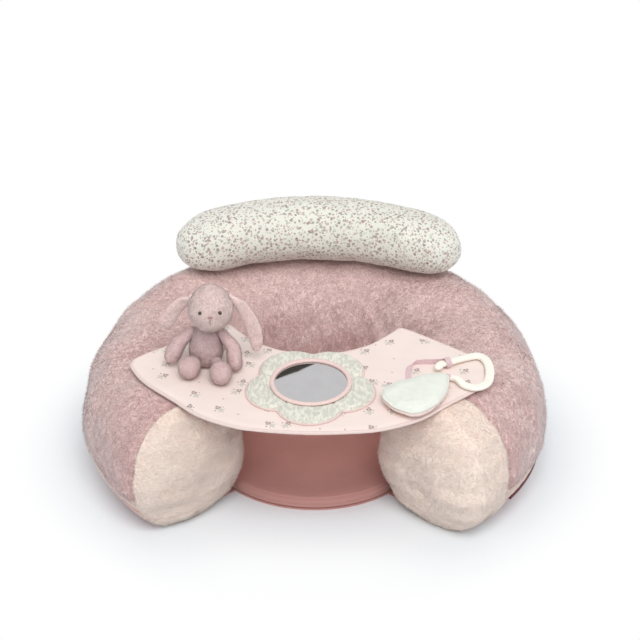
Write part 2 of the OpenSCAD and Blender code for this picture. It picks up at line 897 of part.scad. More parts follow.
// A leg lies on the tray and ends in a round foot
module leg(root, foot) {
    along = unit(foot - root);
    path = [
        [root, 0, 0],
        [root + 0.3 * leg_root_r * along, 0.8 * leg_root_r, 0.8 * leg_root_r],
        [root + 0.4 * (foot - root), 0.98 * leg_root_r, 0.98 * leg_root_r],
        [foot - 0.8 * foot_r * along, 0.72 * foot_r, 0.72 * foot_r],
        [foot - 0.25 * foot_r * along, 0.97 * foot_r, 0.97 * foot_r],
        [foot + 0.3 * foot_r * along, 0.95 * foot_r, 0.95 * foot_r],
        [foot + 0.75 * foot_r * along, 0.66 * foot_r, 0.66 * foot_r],
        [foot + foot_r * along, 0, 0]
    ];
    color("rosybrown") on_bunny() difference() {
        union() {
            translate(root) sphere(leg_root_r, $fn = 32);
            difference() {
                stuffed_tube(path, [1, 0, 0]);
                for (i = [0 : 3]) translate(root) rotate([leg_swing * i / 3, 0, 0])
                    translate(-root) body_form(gap);
            }
        }
        below_tray_face();
    }
}

// -------------------------------------------------------- leaf and link

// The link's bar, bent in the tray's plane: [x, y, height over the tray's
// face, half width, half thickness], from its hook round to its stem
link_lift = 0.5 * link_t + gap;
link_rows = [
    [173, 17, 8, 3, 2], [173, 20, 8, 5, 3.3], [176, 28, 8, 5, 0.5 * link_t],
    [185, 33, 8, 5, 0.5 * link_t], [207, 47, 6, 5, 0.5 * link_t],
    [228, 57, link_lift, 5.5, 0.5 * link_t], [240, 44, link_lift, 5.5, 0.5 * link_t],
    [243, 15, link_lift, 5.5, 0.5 * link_t], [238, -9, link_lift, 5.5, 0.5 * link_t],
    [223, -20, link_lift, 5.5, 0.5 * link_t], [207, -16, 5, 5, 0.5 * link_t],
    [199, -5, 6, 4.5, 0.5 * link_t], [190, -1, 6.5, 4, 0.5 * link_t],
    [180, -1, 6.5, 4, 0.5 * link_t], [177, -1, 6.5, 3, 2]
];
link_steps = 3;

function open_curve(rows, steps) = concat(
    [for (i = [0 : len(rows) - 2]) for (k = [0 : steps - 1])
        curve_point(rows[max(i - 1, 0)], rows[i], rows[i + 1],
            rows[min(i + 2, len(rows) - 1)], k / steps)],
    [rows[len(rows) - 1]]
);

module on_tray_face() {
    on_tray(0, 0, tray_t / 2) children();
}

module toy_link() {
    bar = open_curve(link_rows, link_steps);
    path = [for (b = bar) [[b[0], b[1], b[2]], b[3], b[4]]];
    n = 10;
    last = len(path) - 1;
    rings = [for (i = [0 : last]) link_ring(path, i, n)];
    color("ivory") on_tray_face() skin(rings);
}

// A ring across the bar, its width in the tray's plane
function link_ring(path, i, n) =
    let (
        along = unit(path[min(i + 1, len(path) - 1)][0] - path[max(i - 1, 0)][0]),
        wide = unit(cross([0, 0, 1], along)),
        up = cross(along, wide)
    )
    [for (j = [0 : n - 1]) path[i][0]
        + path[i][1] * bend(cos(36 * j), 0.8) * wide
        + path[i][2] * bend(sin(36 * j), 0.8) * up];

// The ribbon lies on the tray, turns on edge and loops round the link
loop_at = [185, 33, 8];
loop_turn = 31;
loop_inner_r = 6.3;
ribbon_t = 0.9;
ribbon_x = 128;
ribbon_y = 39.2;

module ribbon_loop() {
    color("pink") on_tray_face() {
        translate([ribbon_x, -8, 0]) cube([ribbon_w, ribbon_y + 8 + ribbon_t, ribbon_t]);
        translate([ribbon_x, ribbon_y, 0]) cube([loop_at[0] - 2.5 - ribbon_x, ribbon_t, ribbon_w]);
        translate(loop_at) rotate([0, 0, loop_turn]) rotate([0, 90, 0])
            translate([0, 0, -ribbon_w / 2]) difference() {
                cylinder(r = loop_inner_r + ribbon_t, h = ribbon_w);
                translate([0, 0, -1]) cylinder(r = loop_inner_r, h = ribbon_w + 2);
            }
    }
}

// The leaf is a plump pillow with a seam at half its height and a short tab
// round the link's stem
leaf_outline = closed_curve([
    [95, -52], [105, -74], [122, -90], [143, -95], [165, -78], [181, -50],
    [186, -24], [183, -5], [154, -9], [131, -21], [108, -31]
], 3);
leaf_middle = [143, -48];
leaf_low = 10;
tab_r = 5.4;

module leaf_toy() {
    rows = [
        [0.45, -0.92], [0.72, -0.72], [0.9, -0.42], [1, 0],
        [0.92, 0.4], [0.76, 0.7], [0.5, 0.91]
    ];
    rings = [for (row = rows) [for (p = leaf_outline)
        let (q = leaf_middle + row[0] * (p - leaf_middle))
        [q[0], q[1], leaf_low + (row[1] < 0 ? leaf_low - gap : leaf_t - leaf_low) * row[1]]]];
    bottom = [leaf_middle[0], leaf_middle[1], gap];
    top = [leaf_middle[0], leaf_middle[1], leaf_t];
    color("honeydew") on_tray_face() mirror([0, 0, 1]) difference() {
        skin([for (r = rings) [for (p = r) [p[0], p[1], -p[2]]]],
            [bottom[0], bottom[1], -bottom[2]], [top[0], top[1], -top[2]]);
        translate([170, -1, -6.5]) rotate([0, 90, 0]) cylinder(r = tab_r, h = 30);
    }
}

module leaf_tab() {
    color("pink") on_tray_face() translate([179, -1, 6.5]) rotate([0, 90, 0]) difference() {
        cylinder(r = tab_r, h = 7);
        translate([0, 0, -1]) cylinder(r = tab_r - 0.8, h = 9);
    }
}

air_chamber();
valve_body();
valve_cap();
back_cover();
arm_end_left();
arm_end_right();
seat_lining();
side_band();
base_band();
base_panel();
floor_foam();
floor_cover();
zip_tape();
zip_coil();
zip_slider();
slider_pin();
zip_pull();
seat_patches();
tray_top();
tray_board();
tray_underside();
tray_binding();
tray_patches();
ribbon_loop();
flower_front();
flower_backing();
mirror_rim();
mirror_plate();
bolster_cover();
bolster_filling();
bunny_body();
bunny_head();
bunny_eyes();
bunny_nose();
ear_left();
ear_right();
arm_left();
arm_right();
leg_left();
leg_right();
toy_link();
leaf_toy();
leaf_tab();
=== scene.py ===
"""Dresses a baby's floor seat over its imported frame: plush, prints, toys and a plain stage.

Lengths are in metres in the frame's axes: +Z is up and the open front faces -Y.
Angles round the seat run from the middle of the back (+Y) towards +X, in degrees.
"""

import math

import bpy
import numpy as np
from bpy.props import FloatProperty, FloatVectorProperty, IntProperty, PointerProperty
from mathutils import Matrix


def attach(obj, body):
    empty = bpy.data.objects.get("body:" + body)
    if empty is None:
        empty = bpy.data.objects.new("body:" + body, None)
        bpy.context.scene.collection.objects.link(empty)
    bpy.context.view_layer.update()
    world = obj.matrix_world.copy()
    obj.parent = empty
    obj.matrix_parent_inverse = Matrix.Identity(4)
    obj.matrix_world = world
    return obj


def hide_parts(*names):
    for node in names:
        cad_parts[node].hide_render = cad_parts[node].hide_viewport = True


bl_info = {
    "name": "Baby floor seat",
    "version": (1, 0, 0),
    "blender": (4, 5, 0),
    "location": "View3D > Sidebar > Floor seat",
    "description": "Makes a plush floor seat with a toy tray and a bolster",
    "category": "Add Mesh",
}

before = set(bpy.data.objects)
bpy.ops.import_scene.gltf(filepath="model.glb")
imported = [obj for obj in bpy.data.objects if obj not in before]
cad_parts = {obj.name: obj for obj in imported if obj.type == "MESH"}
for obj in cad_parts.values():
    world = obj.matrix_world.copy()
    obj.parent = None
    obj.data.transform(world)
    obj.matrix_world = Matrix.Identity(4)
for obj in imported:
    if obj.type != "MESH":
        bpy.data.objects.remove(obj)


# ------------------------------------------------------------------ settings


def length(name, default, description):
    """A size in metres."""
    return FloatProperty(
        name=name, description=description, default=default, min=0.0, precision=4, unit="LENGTH"
    )


def degrees(name, default, description):
    """An angle in degrees."""
    return FloatProperty(name=name, description=description, default=default, precision=1)


def share_of(name, default, description):
    """A plain number."""
    return FloatProperty(name=name, description=description, default=default, precision=4)


def count_of(name, default, description):
    """How many there are of something."""
    return IntProperty(name=name, description=description, default=default, min=0)


def tint(name, rgb, description):
    """A colour, given as it looks on a screen (0 to 255) and kept as light."""
    shown = np.array(rgb) / 255
    light = np.where(shown < 0.04045, shown / 12.92, ((shown + 0.055) / 1.055) ** 2.4)
    return FloatVectorProperty(
        name=name, description=description, default=tuple(light), size=3, min=0, max=1,
        subtype="COLOR",
    )


class CushionShape(bpy.types.PropertyGroup):
    """The inflated horseshoe and its seams."""

    ring_radius: length("Ring radius", 0.236, "Radius of the cushion's centre line from above")
    half_width: length("Half width", 0.094, "Half of the cushion's width where it is widest")
    widest: length("Widest height", 0.074, "Height at which the cushion is widest")
    low_depth: length("Lower depth", 0.080, "Depth of the section below its widest height")
    arm_height: length("Arm height", 0.1765, "Height of the arms")
    back_height: length("Back height", 0.224, "Height of the back's middle")
    rise: share_of("Rise", 1.6, "How late the arms rise")
    arm_angle: degrees("Arm angle", 134, "Angle at which the arms' bends end")
    tip_length: length("Tip length", 0.038, "Length of each arm's rounded tip")
    squareness: share_of("Squareness", 2.2, "Power of the section")
    base: length("Base", 0.002, "Thickness of the base panel")
    plush_seam: length("Outer seam", 0.060, "Height of the seam under the plush outside")
    lining_seam: length("Inner seam", 0.070, "Height of the seam under the plush in the hollow")
    left_seam: degrees("Left end seam", 134, "Angle of the seam of the left arm's pale end")
    right_seam: degrees("Right end seam", 124, "Angle of the seam of the right arm's pale end")
    zip_height: length("Zip height", 0.040, "Height of the zip outside")
    floor_radius: length("Floor radius", 0.151, "Radius of the padded floor")
    floor_height: length("Floor height", 0.017, "Height of the padded floor")


class TrayShape(bpy.types.PropertyGroup):
    """The toy tray and the flower mirror on it."""

    tilt: degrees("Tilt", 5, "Slope of the tray, which rises to the back")
    height: length("Height", 0.1883, "Height of the tray's middle layer at its origin")
    origin: length("Origin", 0.116, "Distance of the tray's origin in front of the seat's")
    thickness: length("Thickness", 0.006, "Thickness of the tray")
    flower_ahead: length("Flower", 0.020, "Distance of the flower's middle ahead of the origin")
    petal_reach: length("Petal reach", 0.044, "Distance from the flower's middle to a petal's")
    petal_radius: length("Petal radius", 0.0455, "Radius of a petal")
    backing: length("Backing", 0.0025, "Thickness of the flower's backing")
    padding: length("Padding", 0.005, "Thickness of the flower's padded front")
    mirror_radius: length("Mirror radius", 0.0495, "Radius of the visible mirror")
    rim_width: length("Rim width", 0.007, "Width of the rim round the mirror")


class BolsterShape(bpy.types.PropertyGroup):
    """The bolster on the back's crown."""

    bend_radius: length("Bend radius", 0.415, "Radius of its bend from above")
    half_length: length("Half length", 0.205, "Half of the distance between its ends")
    half_depth: length("Half depth", 0.053, "Half of its depth, front to back")
    upper: length("Upper half", 0.044, "Height of its upper half")
    lower: length("Lower half", 0.0432, "Height of its lower half")
    middle_y: length("Middle", 0.211, "Distance of its middle behind the origin")
    middle_z: length("Height", 0.267, "Height of its middle")
    droop: length("Droop", 0.012, "How far its ends hang below its middle")
    end: length("End", 0.074, "Length over which each end rounds off")


class BunnyShape(bpy.types.PropertyGroup):
    """The sitting bunny."""

    place_x: share_of("Place X", -0.146, "Where it sits, in metres")
    place_y: share_of("Place Y", -0.082, "Where it sits, in metres")
    head_half: length("Head half width", 0.030, "Half of the head's width")
    head_up: length("Head half height", 0.034, "Half of the head's height")


class PileSettings(bpy.types.PropertyGroup):
    """The pile of the plush cloths."""

    plush_blades: count_of("Plush blades", 110000, "Blades on the cover")
    plush_length: length("Plush length", 0.0072, "Length of the cover's pile")
    plush_width: length("Plush width", 0.0008, "Width of a blade of the cover's pile")
    end_blades: count_of("End blades", 32000, "Blades on each pale end")
    end_length: length("End length", 0.0046, "Length of the pale ends' pile")
    end_width: length("End width", 0.0007, "Width of a blade of the pale ends' pile")
    toy_blades: count_of("Toy blades", 1600000, "Blades to a square metre of a toy")
    toy_length: length("Toy length", 0.0017, "Length of the toy's pile")
    toy_width: length("Toy width", 0.00055, "Width of a blade of the toy's pile")


class ClothColours(bpy.types.PropertyGroup):
    """Colours of the cloths and plastics."""

    # Each plush's deep colour goes on its pile's roots as painted shade, and on its darker random
    # blotches
    mauve: tint("Mauve plush", (249, 226, 220), "Tips of the cover's pile")
    mauve_deep: tint("Deep mauve", (204, 161, 160), "Roots of the cover's pile")
    cream: tint("Cream plush", (253, 239, 228), "Tips of the pale ends' pile")
    cream_deep: tint("Deep cream", (250, 228, 215), "Roots of the pale ends' pile")
    rose: tint("Rose cloth", (208, 154, 147), "Floor, tray's underside and base")
    lining: tint("Lining", (244, 188, 177), "Lining of the hollow")
    sand: tint("Sand band", (222, 196, 184), "Smooth band under the plush")
    base: tint("Base band", (226, 190, 184), "Band under the zip")
    rim: tint("Rim satin", (240, 212, 206), "The flower's backing and the mirror's rim")
    tray: tint("Tray cotton", (247, 231, 224), "Ground of the tray's print")
    plum: tint("Plum print", (128, 92, 100), "Darkest colour of the prints")
    sage: tint("Sage print", (170, 184, 164), "Leaves of the prints")
    binding: tint("Binding", (247, 226, 219), "Binding of the tray's edge")
    minky: tint("Sage plush", (238, 237, 224), "The flower's front")
    bolster: tint("Bolster cotton", (236, 235, 225), "Ground of the bolster's print")
    bunny: tint("Bunny plush", (238, 212, 210), "Tips of the bunny's pile")
    bunny_deep: tint("Deep bunny", (208, 174, 175), "Roots of the bunny's pile")
    bunny_pale: tint("Pale bunny", (250, 232, 224), "Tips of the head's pile")
    leaf: tint("Leaf jersey", (238, 241, 231), "Upper half of the leaf")
    plastic: tint("Link plastic", (253, 249, 238), "The link")
    ribbon: tint("Ribbon", (232, 200, 205), "Satin ribbon")
    thread: tint("Dark thread", (58, 34, 36), "Eyes")


class StageSettings(bpy.types.PropertyGroup):
    """Camera and light."""

    elevation: degrees("Elevation", 30, "Camera's angle above the floor")
    azimuth: degrees("Azimuth", 2, "Camera's angle to the right of the front")
    distance: length("Distance", 2.6, "Distance from the camera to its target")
    target_y: share_of("Target Y", -0.016, "Target's place, in metres")
    target_z: share_of("Target Z", 0.1, "Target's height, in metres")
    lens: share_of("Lens", 101.9, "Focal length in millimetres")
    shift_x: share_of("Shift X", 0.0094, "Camera's shift to the side")
    shift_y: share_of("Shift Y", 0.125, "Camera's shift upwards")
    sky: share_of("Sky", 0.58, "Strength of the world's light")
    lamp: share_of("Lamp", 1.75, "Strength of the soft key lamp")
    lamp_spread: degrees("Lamp spread", 40, "Angle from which the lamp's soft light comes")
    lamp_tilt: degrees("Lamp tilt", 37, "How far the lamp leans to the front")
    lamp_turn: degrees("Lamp turn", 10, "How far the lamp stands to the right")


class FloorSeat(bpy.types.PropertyGroup):
    """All settings of the seat."""

    cushion: PointerProperty(type=CushionShape)
    tray: PointerProperty(type=TrayShape)
    bolster: PointerProperty(type=BolsterShape)
    bunny: PointerProperty(type=BunnyShape)
    pile: PointerProperty(type=PileSettings)
    colours: PointerProperty(type=ClothColours)
    stage: PointerProperty(type=StageSettings)


def settings():
    """The seat's settings in the open scene."""
    return bpy.context.scene.floor_seat


DEEPEST = 0.0022  # how far a crease may sink into the cover before it meets the chamber
TUCK = 0.0045  # how far the cover is drawn in at a seam
END_SEAM = 0.023  # height of the seam round the arms' ends


# ------------------------------------------------------------- curves, noise


def unit(v):
    """Vectors brought to length 1."""
    return v / np.maximum(np.linalg.norm(v, axis=-1, keepdims=True), 1e-12)


def bend(v, power):
    """A power that keeps the number's sign."""
    return np.sign(v) * np.abs(v) ** power


def circle(count):
    """Angles of so many points evenly round a circle."""
    return np.linspace(0, 2 * np.pi, count, endpoint=False)


def bell(distance, width):
    """1 at distance 0, fading over the width as exp of minus the square."""
    return np.exp(-((distance / width) ** 2))


def step(value, low, high):
    """0 below low, 1 above high, and a smooth cubic between them."""
    t = np.clip((value - low) / (high - low), 0, 1)
    return t * t * (3 - 2 * t)


def ripple(points, wave, seed, count=11):
    """Smooth noise near -1 to 1: the mean of sines that run in seeded directions,
    each with a wavelength near the given one."""
    rng = np.random.default_rng(seed)
    pitch = wave * rng.uniform(0.7, 1.4, (count, 1))
    run = unit(rng.normal(size=(count, 3))) * 2 * np.pi / pitch
    return np.sin(points @ run.T + rng.uniform(0, 2 * np.pi, count)).mean(axis=-1) * 2.3


def smooth(rows, count, closed=False):
    """Points of a Catmull-Rom curve through the rows: on each span a cubic of t whose
    slopes are half the difference of the neighbours. Every column is carried along."""
    rows = np.asarray(rows, float)
    n = len(rows)
    spans = n if closed else n - 1
    t = np.linspace(0, spans, count, endpoint=not closed)
    i = np.minimum(t.astype(int), spans - 1)
    t = (t - i)[:, None]
    a, b, c, d = (
        rows[(i + k) % n] if closed else rows[np.clip(i + k, 0, n - 1)] for k in (-1, 0, 1, 2)
    )
    return 0.5 * (
        2 * b + (c - a) * t + (2 * a - 5 * b + 4 * c - d) * t**2 + (3 * b - a - 3 * c + d) * t**3
    )


def refined(grid, rows, cols, wrap=False):
    """A grid with more rows and columns, along smooth curves through its points."""
    tall = smooth(grid.reshape(len(grid), -1), rows).reshape(rows, -1, 3)
    wide = smooth(tall.transpose(1, 0, 2).reshape(tall.shape[1], -1), cols, closed=wrap)
    return wide.reshape(cols, rows, 3).transpose(1, 0, 2)


def turned(points, angle):
    """Points turned about X by an angle in degrees."""
    c, s = math.cos(math.radians(angle)), math.sin(math.radians(angle))
    return points @ np.array([[1, 0, 0], [0, c, s], [0, -s, c]])


# --------------------------------------------------------------------- forms


class Form:
    """Points and faces of a piece, before they go into a mesh."""

    def __init__(self, grid, wrap=False, poles=(None, None), inside=None):
        """A skin over a grid of points. wrap closes its columns on themselves, poles close
        its first and last row in a point, and the faces turn away from inside, or
        outwards on a closed skin."""
        rows, cols = grid.shape[:2]
        i, j = np.meshgrid(np.arange(rows - 1), np.arange(cols - (not wrap)), indexing="ij")
        k = (j + 1) % cols
        corners = [i * cols + j, i * cols + k, (i + 1) * cols + k, (i + 1) * cols + j]
        self.quads = np.stack(corners, -1).reshape(-1, 4)
        points, fans = [grid.reshape(-1, 3)], [np.empty((0, 3), int)]
        here = np.arange(cols)
        for pole, row, order in ((poles[0], 0, 1), (poles[1], rows - 1, -1)):
            if pole is not None:
                apex = np.full(cols, rows * cols + len(points) - 1)
                fan = np.stack([apex, row * cols + np.roll(here, -1), row * cols + here], -1)
                fans.append(fan[:, ::order])
                points.append(np.reshape(pole, (1, 3)))
        self.points = np.concatenate(points)
        self.tris = np.concatenate(fans)
        if inside is None:
            a, b, c = (self.points[t] for t in self.triangles().T)
            wrong = (a * np.cross(b, c)).sum() < 0
        else:
            wrong = (self.normals() * (self.points - inside)).sum() < 0
        if wrong:
            self.quads, self.tris = self.quads[:, ::-1], self.tris[:, ::-1]

    def triangles(self):
        """Every face as triangles."""
        return np.concatenate([self.quads[:, [0, 1, 2]], self.quads[:, [0, 2, 3]], self.tris])

    def normals(self):
        """The normal at each point: the sum of its triangles' cross products, at length 1."""
        corners = self.triangles()
        a, b, c = (self.points[t] for t in corners.T)
        total = np.zeros_like(self.points)
        np.add.at(total, corners, np.cross(b - a, c - a)[:, None, :])
        return unit(total)

    def pushed(self, out):
        """This form with each point moved out along its normal."""
        self.points = self.points + self.normals() * np.broadcast_to(out, len(self.points))[:, None]
        return self

    def placed(self, place):
        """This form with its points sent through a function."""
        self.points = place(self.points)
        return self

    def __add__(self, other):
        """Both forms in one."""
        both = object.__new__(Form)
        n = len(self.points)
        both.points = np.concatenate([self.points, other.points])
        both.quads = np.concatenate([self.quads, other.quads + n])
        both.tris = np.concatenate([self.tris, other.tris + n])
        return both


def tube(rows, count, side, sides=24, power=1.0, ends=5):
    """A stuffed tube. Each row is x, y, z, half width and half thickness, carried along a
    smooth curve. The section is an oval whose sine and cosine are raised to a power,
    its width lies towards side, and each end closes in a rounded cap."""
    rows = smooth(rows, count)
    centre, wide, thick = rows[:, :3], rows[:, 3], rows[:, 4]
    along = unit(np.gradient(centre, axis=0))
    a = np.radians(np.linspace(0, 84, ends))[1:]
    cap = np.minimum(wide, thick)
    first = centre[0] - along[0] * (cap[0] * np.sin(a[::-1]))[:, None]
    last = centre[-1] + along[-1] * (cap[-1] * np.sin(a))[:, None]
    shrink = np.concatenate([np.cos(a[::-1]), np.ones(count), np.cos(a)])
    centre = np.concatenate([first, centre, last])
    more = (ends - 1, ends - 1)
    along = np.pad(along, (more, (0, 0)), "edge")
    wide = np.pad(wide, more, "edge") * shrink
    thick = np.pad(thick, more, "edge") * shrink
    if np.ndim(side) == 2:
        side = np.pad(side, (more, (0, 0)), "edge")
    side = np.broadcast_to(side, centre.shape)
    across = unit(side - (side * along).sum(-1, keepdims=True) * along)
    up = np.cross(along, across)
    th = circle(sides)
    section = across[:, None] * (wide[:, None] * bend(np.cos(th), power))[..., None]
    section = section + up[:, None] * (thick[:, None] * bend(np.sin(th), power))[..., None]
    grid = centre[:, None] + section
    poles = (centre[0] - along[0] * cap[0] * 0.005, centre[-1] + along[-1] * cap[-1] * 0.005)
    return Form(grid, wrap=True, poles=poles)


def ball(centre, radii, shape=None, rings=40, sides=56):
    """A rounded body: radii times the directions of a sphere, whose pole is at the top.
    shape gives a factor for each direction."""
    polar = np.linspace(0, np.pi, rings + 2)[1:-1, None]
    turn = circle(sides)[None]
    to = np.stack(
        [np.sin(polar) * np.cos(turn), np.sin(polar) * np.sin(turn), np.cos(polar) + 0 * turn], -1
    )
    ends = np.array([[0, 0, 1.0], [0, 0, -1.0]])
    factor = shape(to)[..., None] if shape else 1
    tips = ends * (shape(ends)[:, None] if shape else 1)
    grid = centre + np.array(radii) * to * factor
    return Form(grid, wrap=True, poles=tuple(centre + np.array(radii) * tips))


def ring(grid):
    """A form whose rows and columns both close on themselves."""
    rows, cols = grid.shape[:2]
    i, j = np.meshgrid(np.arange(rows), np.arange(cols), indexing="ij")
    k, n = (j + 1) % cols, (i + 1) % rows
    form = Form(grid, True)
    corners = [i * cols + j, i * cols + k, n * cols + k, n * cols + j]
    form.quads = np.stack(corners, -1).reshape(-1, 4)
    a, b, c = (form.points[t] for t in form.triangles().T)
    if (a * np.cross(b, c)).sum() < 0:
        form.quads = form.quads[:, ::-1]
    return form


def blown_up(form, held, pressure, slack, cap, moments=16):
    """The form after it is blown up as a cloth that is held at some points. No point
    moves further than cap, or more than 1 mm inwards."""
    scene = bpy.context.scene
    sewn = bpy.data.objects.new("blown", write_mesh("blown", form.points, form.quads, form.tris))
    scene.collection.objects.link(sewn)
    sewn.vertex_groups.new(name="held").add([int(i) for i in held], 1.0, "REPLACE")
    solver = sewn.modifiers.new("Cloth", "CLOTH")
    fabric = solver.settings
    fabric.quality = 6
    fabric.mass = 0.25
    fabric.tension_stiffness = fabric.compression_stiffness = 14
    fabric.shear_stiffness = 6
    fabric.bending_stiffness = 0.6
    fabric.use_pressure = True
    fabric.uniform_pressure_force = pressure
    fabric.shrink_min = -slack
    fabric.effector_weights.gravity = 0
    fabric.vertex_group_mass = "held"
    solver.point_cache.frame_start, solver.point_cache.frame_end = 1, moments
    for moment in range(1, moments + 1):
        scene.frame_set(moment)
    after = np.empty(form.points.size, np.float32)
    blown = sewn.evaluated_get(bpy.context.evaluated_depsgraph_get())
    blown.data.vertices.foreach_get("co", after)
    scene.frame_set(1)
    bpy.data.objects.remove(sewn)
    move, normals = after.reshape(-1, 3) - form.points, form.normals()
    inwards = np.minimum((move * normals).sum(-1, keepdims=True) + 0.001, 0)
    move = move - normals * inwards
    size = np.linalg.norm(move, axis=1, keepdims=True)
    form.points = form.points + move * np.minimum(1, cap / np.maximum(size, 1e-9))
    return form


# -------------------------------------------------------------------- meshes


def write_mesh(name, points, quads, tris):
    """A smooth mesh of four-cornered and then three-cornered faces."""
    mesh = bpy.data.meshes.new(name)
    corners = np.concatenate([quads.ravel(), tris.ravel()])
    starts = np.concatenate([np.arange(len(quads)) * 4, quads.size + np.arange(len(tris)) * 3])
    mesh.vertices.add(len(points))
    mesh.vertices.foreach_set("co", points.astype(np.float32).ravel())
    mesh.loops.add(len(corners))
    mesh.loops.foreach_set("vertex_index", corners.astype(np.int32))
    mesh.polygons.add(len(starts))
    mesh.polygons.foreach_set("loop_start", starts.astype(np.int32))
    mesh.update(calc_edges=True)
    mesh.polygons.foreach_set("use_smooth", np.ones(len(starts), bool))
    return mesh


def keep_numbers(mesh, name, values):
    """A number for each point, which materials read by name."""
    mesh.attributes.new(name, "FLOAT", "POINT").data.foreach_set("value", values.astype(np.float32))


def piled(name, form, blades, long, width, seed, lean=66, where=None, comb=None, shade=None):
    """A mesh of the form with a pile on it. Each blade is one narrow triangle: its foot is
    at a seeded place on the form, thinned out by where, and it leans along the form in a
    direction that wanders. comb adds to that direction and to the blade's length, and
    shade takes a painted shade from its tone. The number reach, low at the roots, lets the
    material paint the roots darker, a painted shade. The normals follow the form, bent
    towards the blades."""
    rng = np.random.default_rng(seed)
    corners, normals = form.triangles(), form.normals()
    a, b, c = (form.points[t] for t in corners.T)
    area = np.linalg.norm(np.cross(b - a, c - a), axis=1)
    if where is not None:
        area = area * where((a + b + c) / 3)
    pick = rng.choice(len(corners), blades, p=area / area.sum())
    u, v = rng.random((2, blades, 1))
    u, v = np.where(u + v > 1, 1 - u, u), np.where(u + v > 1, 1 - v, v)
    a, b, c = (form.points[t[pick]] for t in corners.T)
    foot = a + u * (b - a) + v * (c - a)
    na, nb, nc = (normals[t[pick]] for t in corners.T)
    out = unit(na + u * (nb - na) + v * (nc - na))
    drift = np.stack([ripple(foot, long * 9, seed + k) for k in range(3)], -1)
    curl = np.stack([ripple(foot, long * 3, seed + 5 + k) for k in range(3)], -1)
    flow = drift * 0.55 + curl * 0.25 + np.array([0, 0, -0.6]) + rng.normal(0, 0.5, (blades, 3))
    combed = comb(foot) if comb else np.zeros((blades, 3))
    flow = flow + combed
    flow = unit(flow - (flow * out).sum(-1, keepdims=True) * out)
    tilt = np.radians(rng.normal(lean, 7, (blades, 1)))
    to = out * np.cos(tilt) + flow * np.sin(tilt)
    wide = unit(np.cross(to, out)) * width / 2
    longer = 1 + 0.5 * np.linalg.norm(combed, axis=1, keepdims=True)
    tip = foot + to * long * (rng.uniform(0.6, 1.2, (blades, 1)) * longer)

    def tone(at):
        """How light the pile is somewhere: four sizes of blotches, less the painted shade that
        shade gives.
        """
        blots = zip((0.09, 0.06, 0.06, 0.12), (0.7, 1.7, 5, 15))
        value = 0.5 + sum(share * ripple(at, long * size, seed + 9) for share, size in blots)
        return value - (shade(at) if shade else 0)

    blade_tone = np.clip(tone(foot) + rng.normal(0, 0.2, blades), 0, 1)
    n = len(form.points)
    order = n + np.arange(blades * 3).reshape(-1, 3)
    blade = np.stack([foot - wide, foot + wide, tip], 1).reshape(-1, 3)
    points = np.concatenate([form.points, blade])
    mesh = write_mesh(name, points, form.quads, np.concatenate([form.tris, order]))
    keep_numbers(mesh, "tone", np.concatenate([tone(form.points), np.repeat(blade_tone, 3)]))
    # reach is 0.2 at a blade's foot, 1 at its tip and 0.55 on the form: materials darken the roots
    # with it, a painted shade
    reach = np.tile([0.2, 0.2, 1.0], blades)
    keep_numbers(mesh, "reach", np.concatenate([np.full(n, 0.55), reach]))
    lit = np.repeat(unit(out + 0.22 * to), 3, axis=0)
    mesh.normals_split_custom_set_from_vertices(np.concatenate([normals, lit]))
    spread_map(mesh, len(form.quads))
    return mesh


def spread_map(mesh, quads):
    """A map that gives each face a cell of its own in a square of cells, for baking."""
    faces = len(mesh.polygons)
    side = math.ceil(math.sqrt(faces))
    index = np.arange(faces)
    cell = np.stack([index % side, index // side], -1)
    square = np.array([[0.12, 0.12], [0.88, 0.12], [0.88, 0.88], [0.12, 0.88]])
    four = (cell[:quads, None] + square).reshape(-1, 2)
    three = (cell[quads:, None] + square[:3]).reshape(-1, 2)
    uv = mesh.uv_layers.new(name="OFBake")
    uv.data.foreach_set("uv", (np.concatenate([four, three]) / side).astype(np.float32).ravel())


def piece(name, mesh, material, body, slot, stands_for, levels=0):
    """An object of that mesh, which rides on a body and stands for its CAD nodes. A Form
    is made a mesh first."""
    if isinstance(mesh, Form):
        mesh = write_mesh(name, mesh.points, mesh.quads, mesh.tris)
    new = bpy.data.objects.new(name, mesh)
    bpy.context.scene.collection.objects.link(new)
    new.data.materials.append(material)
    if levels:
        finer = new.modifiers.new("Finer", "SUBSURF")
        finer.levels = finer.render_levels = levels
    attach(new, body)
    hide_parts(*stands_for)


# ----------------------------------------------------------------- materials


class Wire:
    """A number on its way between nodes. Sums with it add Math nodes."""

    def __init__(self, paint, socket):
        self.paint, self.socket = paint, socket

    def by(self, operation, *others, first=None):
        """The result of a Math node, for which first can take this wire's place."""
        values = (first, self) if first is not None else (self, *others)
        return self.paint.node("ShaderNodeMath", {"operation": operation}, dict(enumerate(values)))

    def __add__(self, other):
        return self.by("ADD", other)

    def __sub__(self, other):
        return self.by("SUBTRACT", other)

    def __rsub__(self, other):
        return self.by("SUBTRACT", first=other)

    def __mul__(self, other):
        return self.by("MULTIPLY", other)

    __radd__, __rmul__ = __add__, __mul__

    def sine(self):
        """Its sine."""
        return self.by("SINE")

    def within(self, low, high):
        """0 at low and before, 1 at high and past it, smooth between them. low may be
        the larger of the two."""
        start, end = (1.0, 0.0) if low > high else (0.0, 1.0)
        values = {0: self, 1: min(low, high), 2: max(low, high), 3: start, 4: end}
        return self.paint.node("ShaderNodeMapRange", {"interpolation_type": "SMOOTHSTEP"}, values)

    def most(self, other):
        """The larger of two numbers."""
        return self.by("MAXIMUM", other)


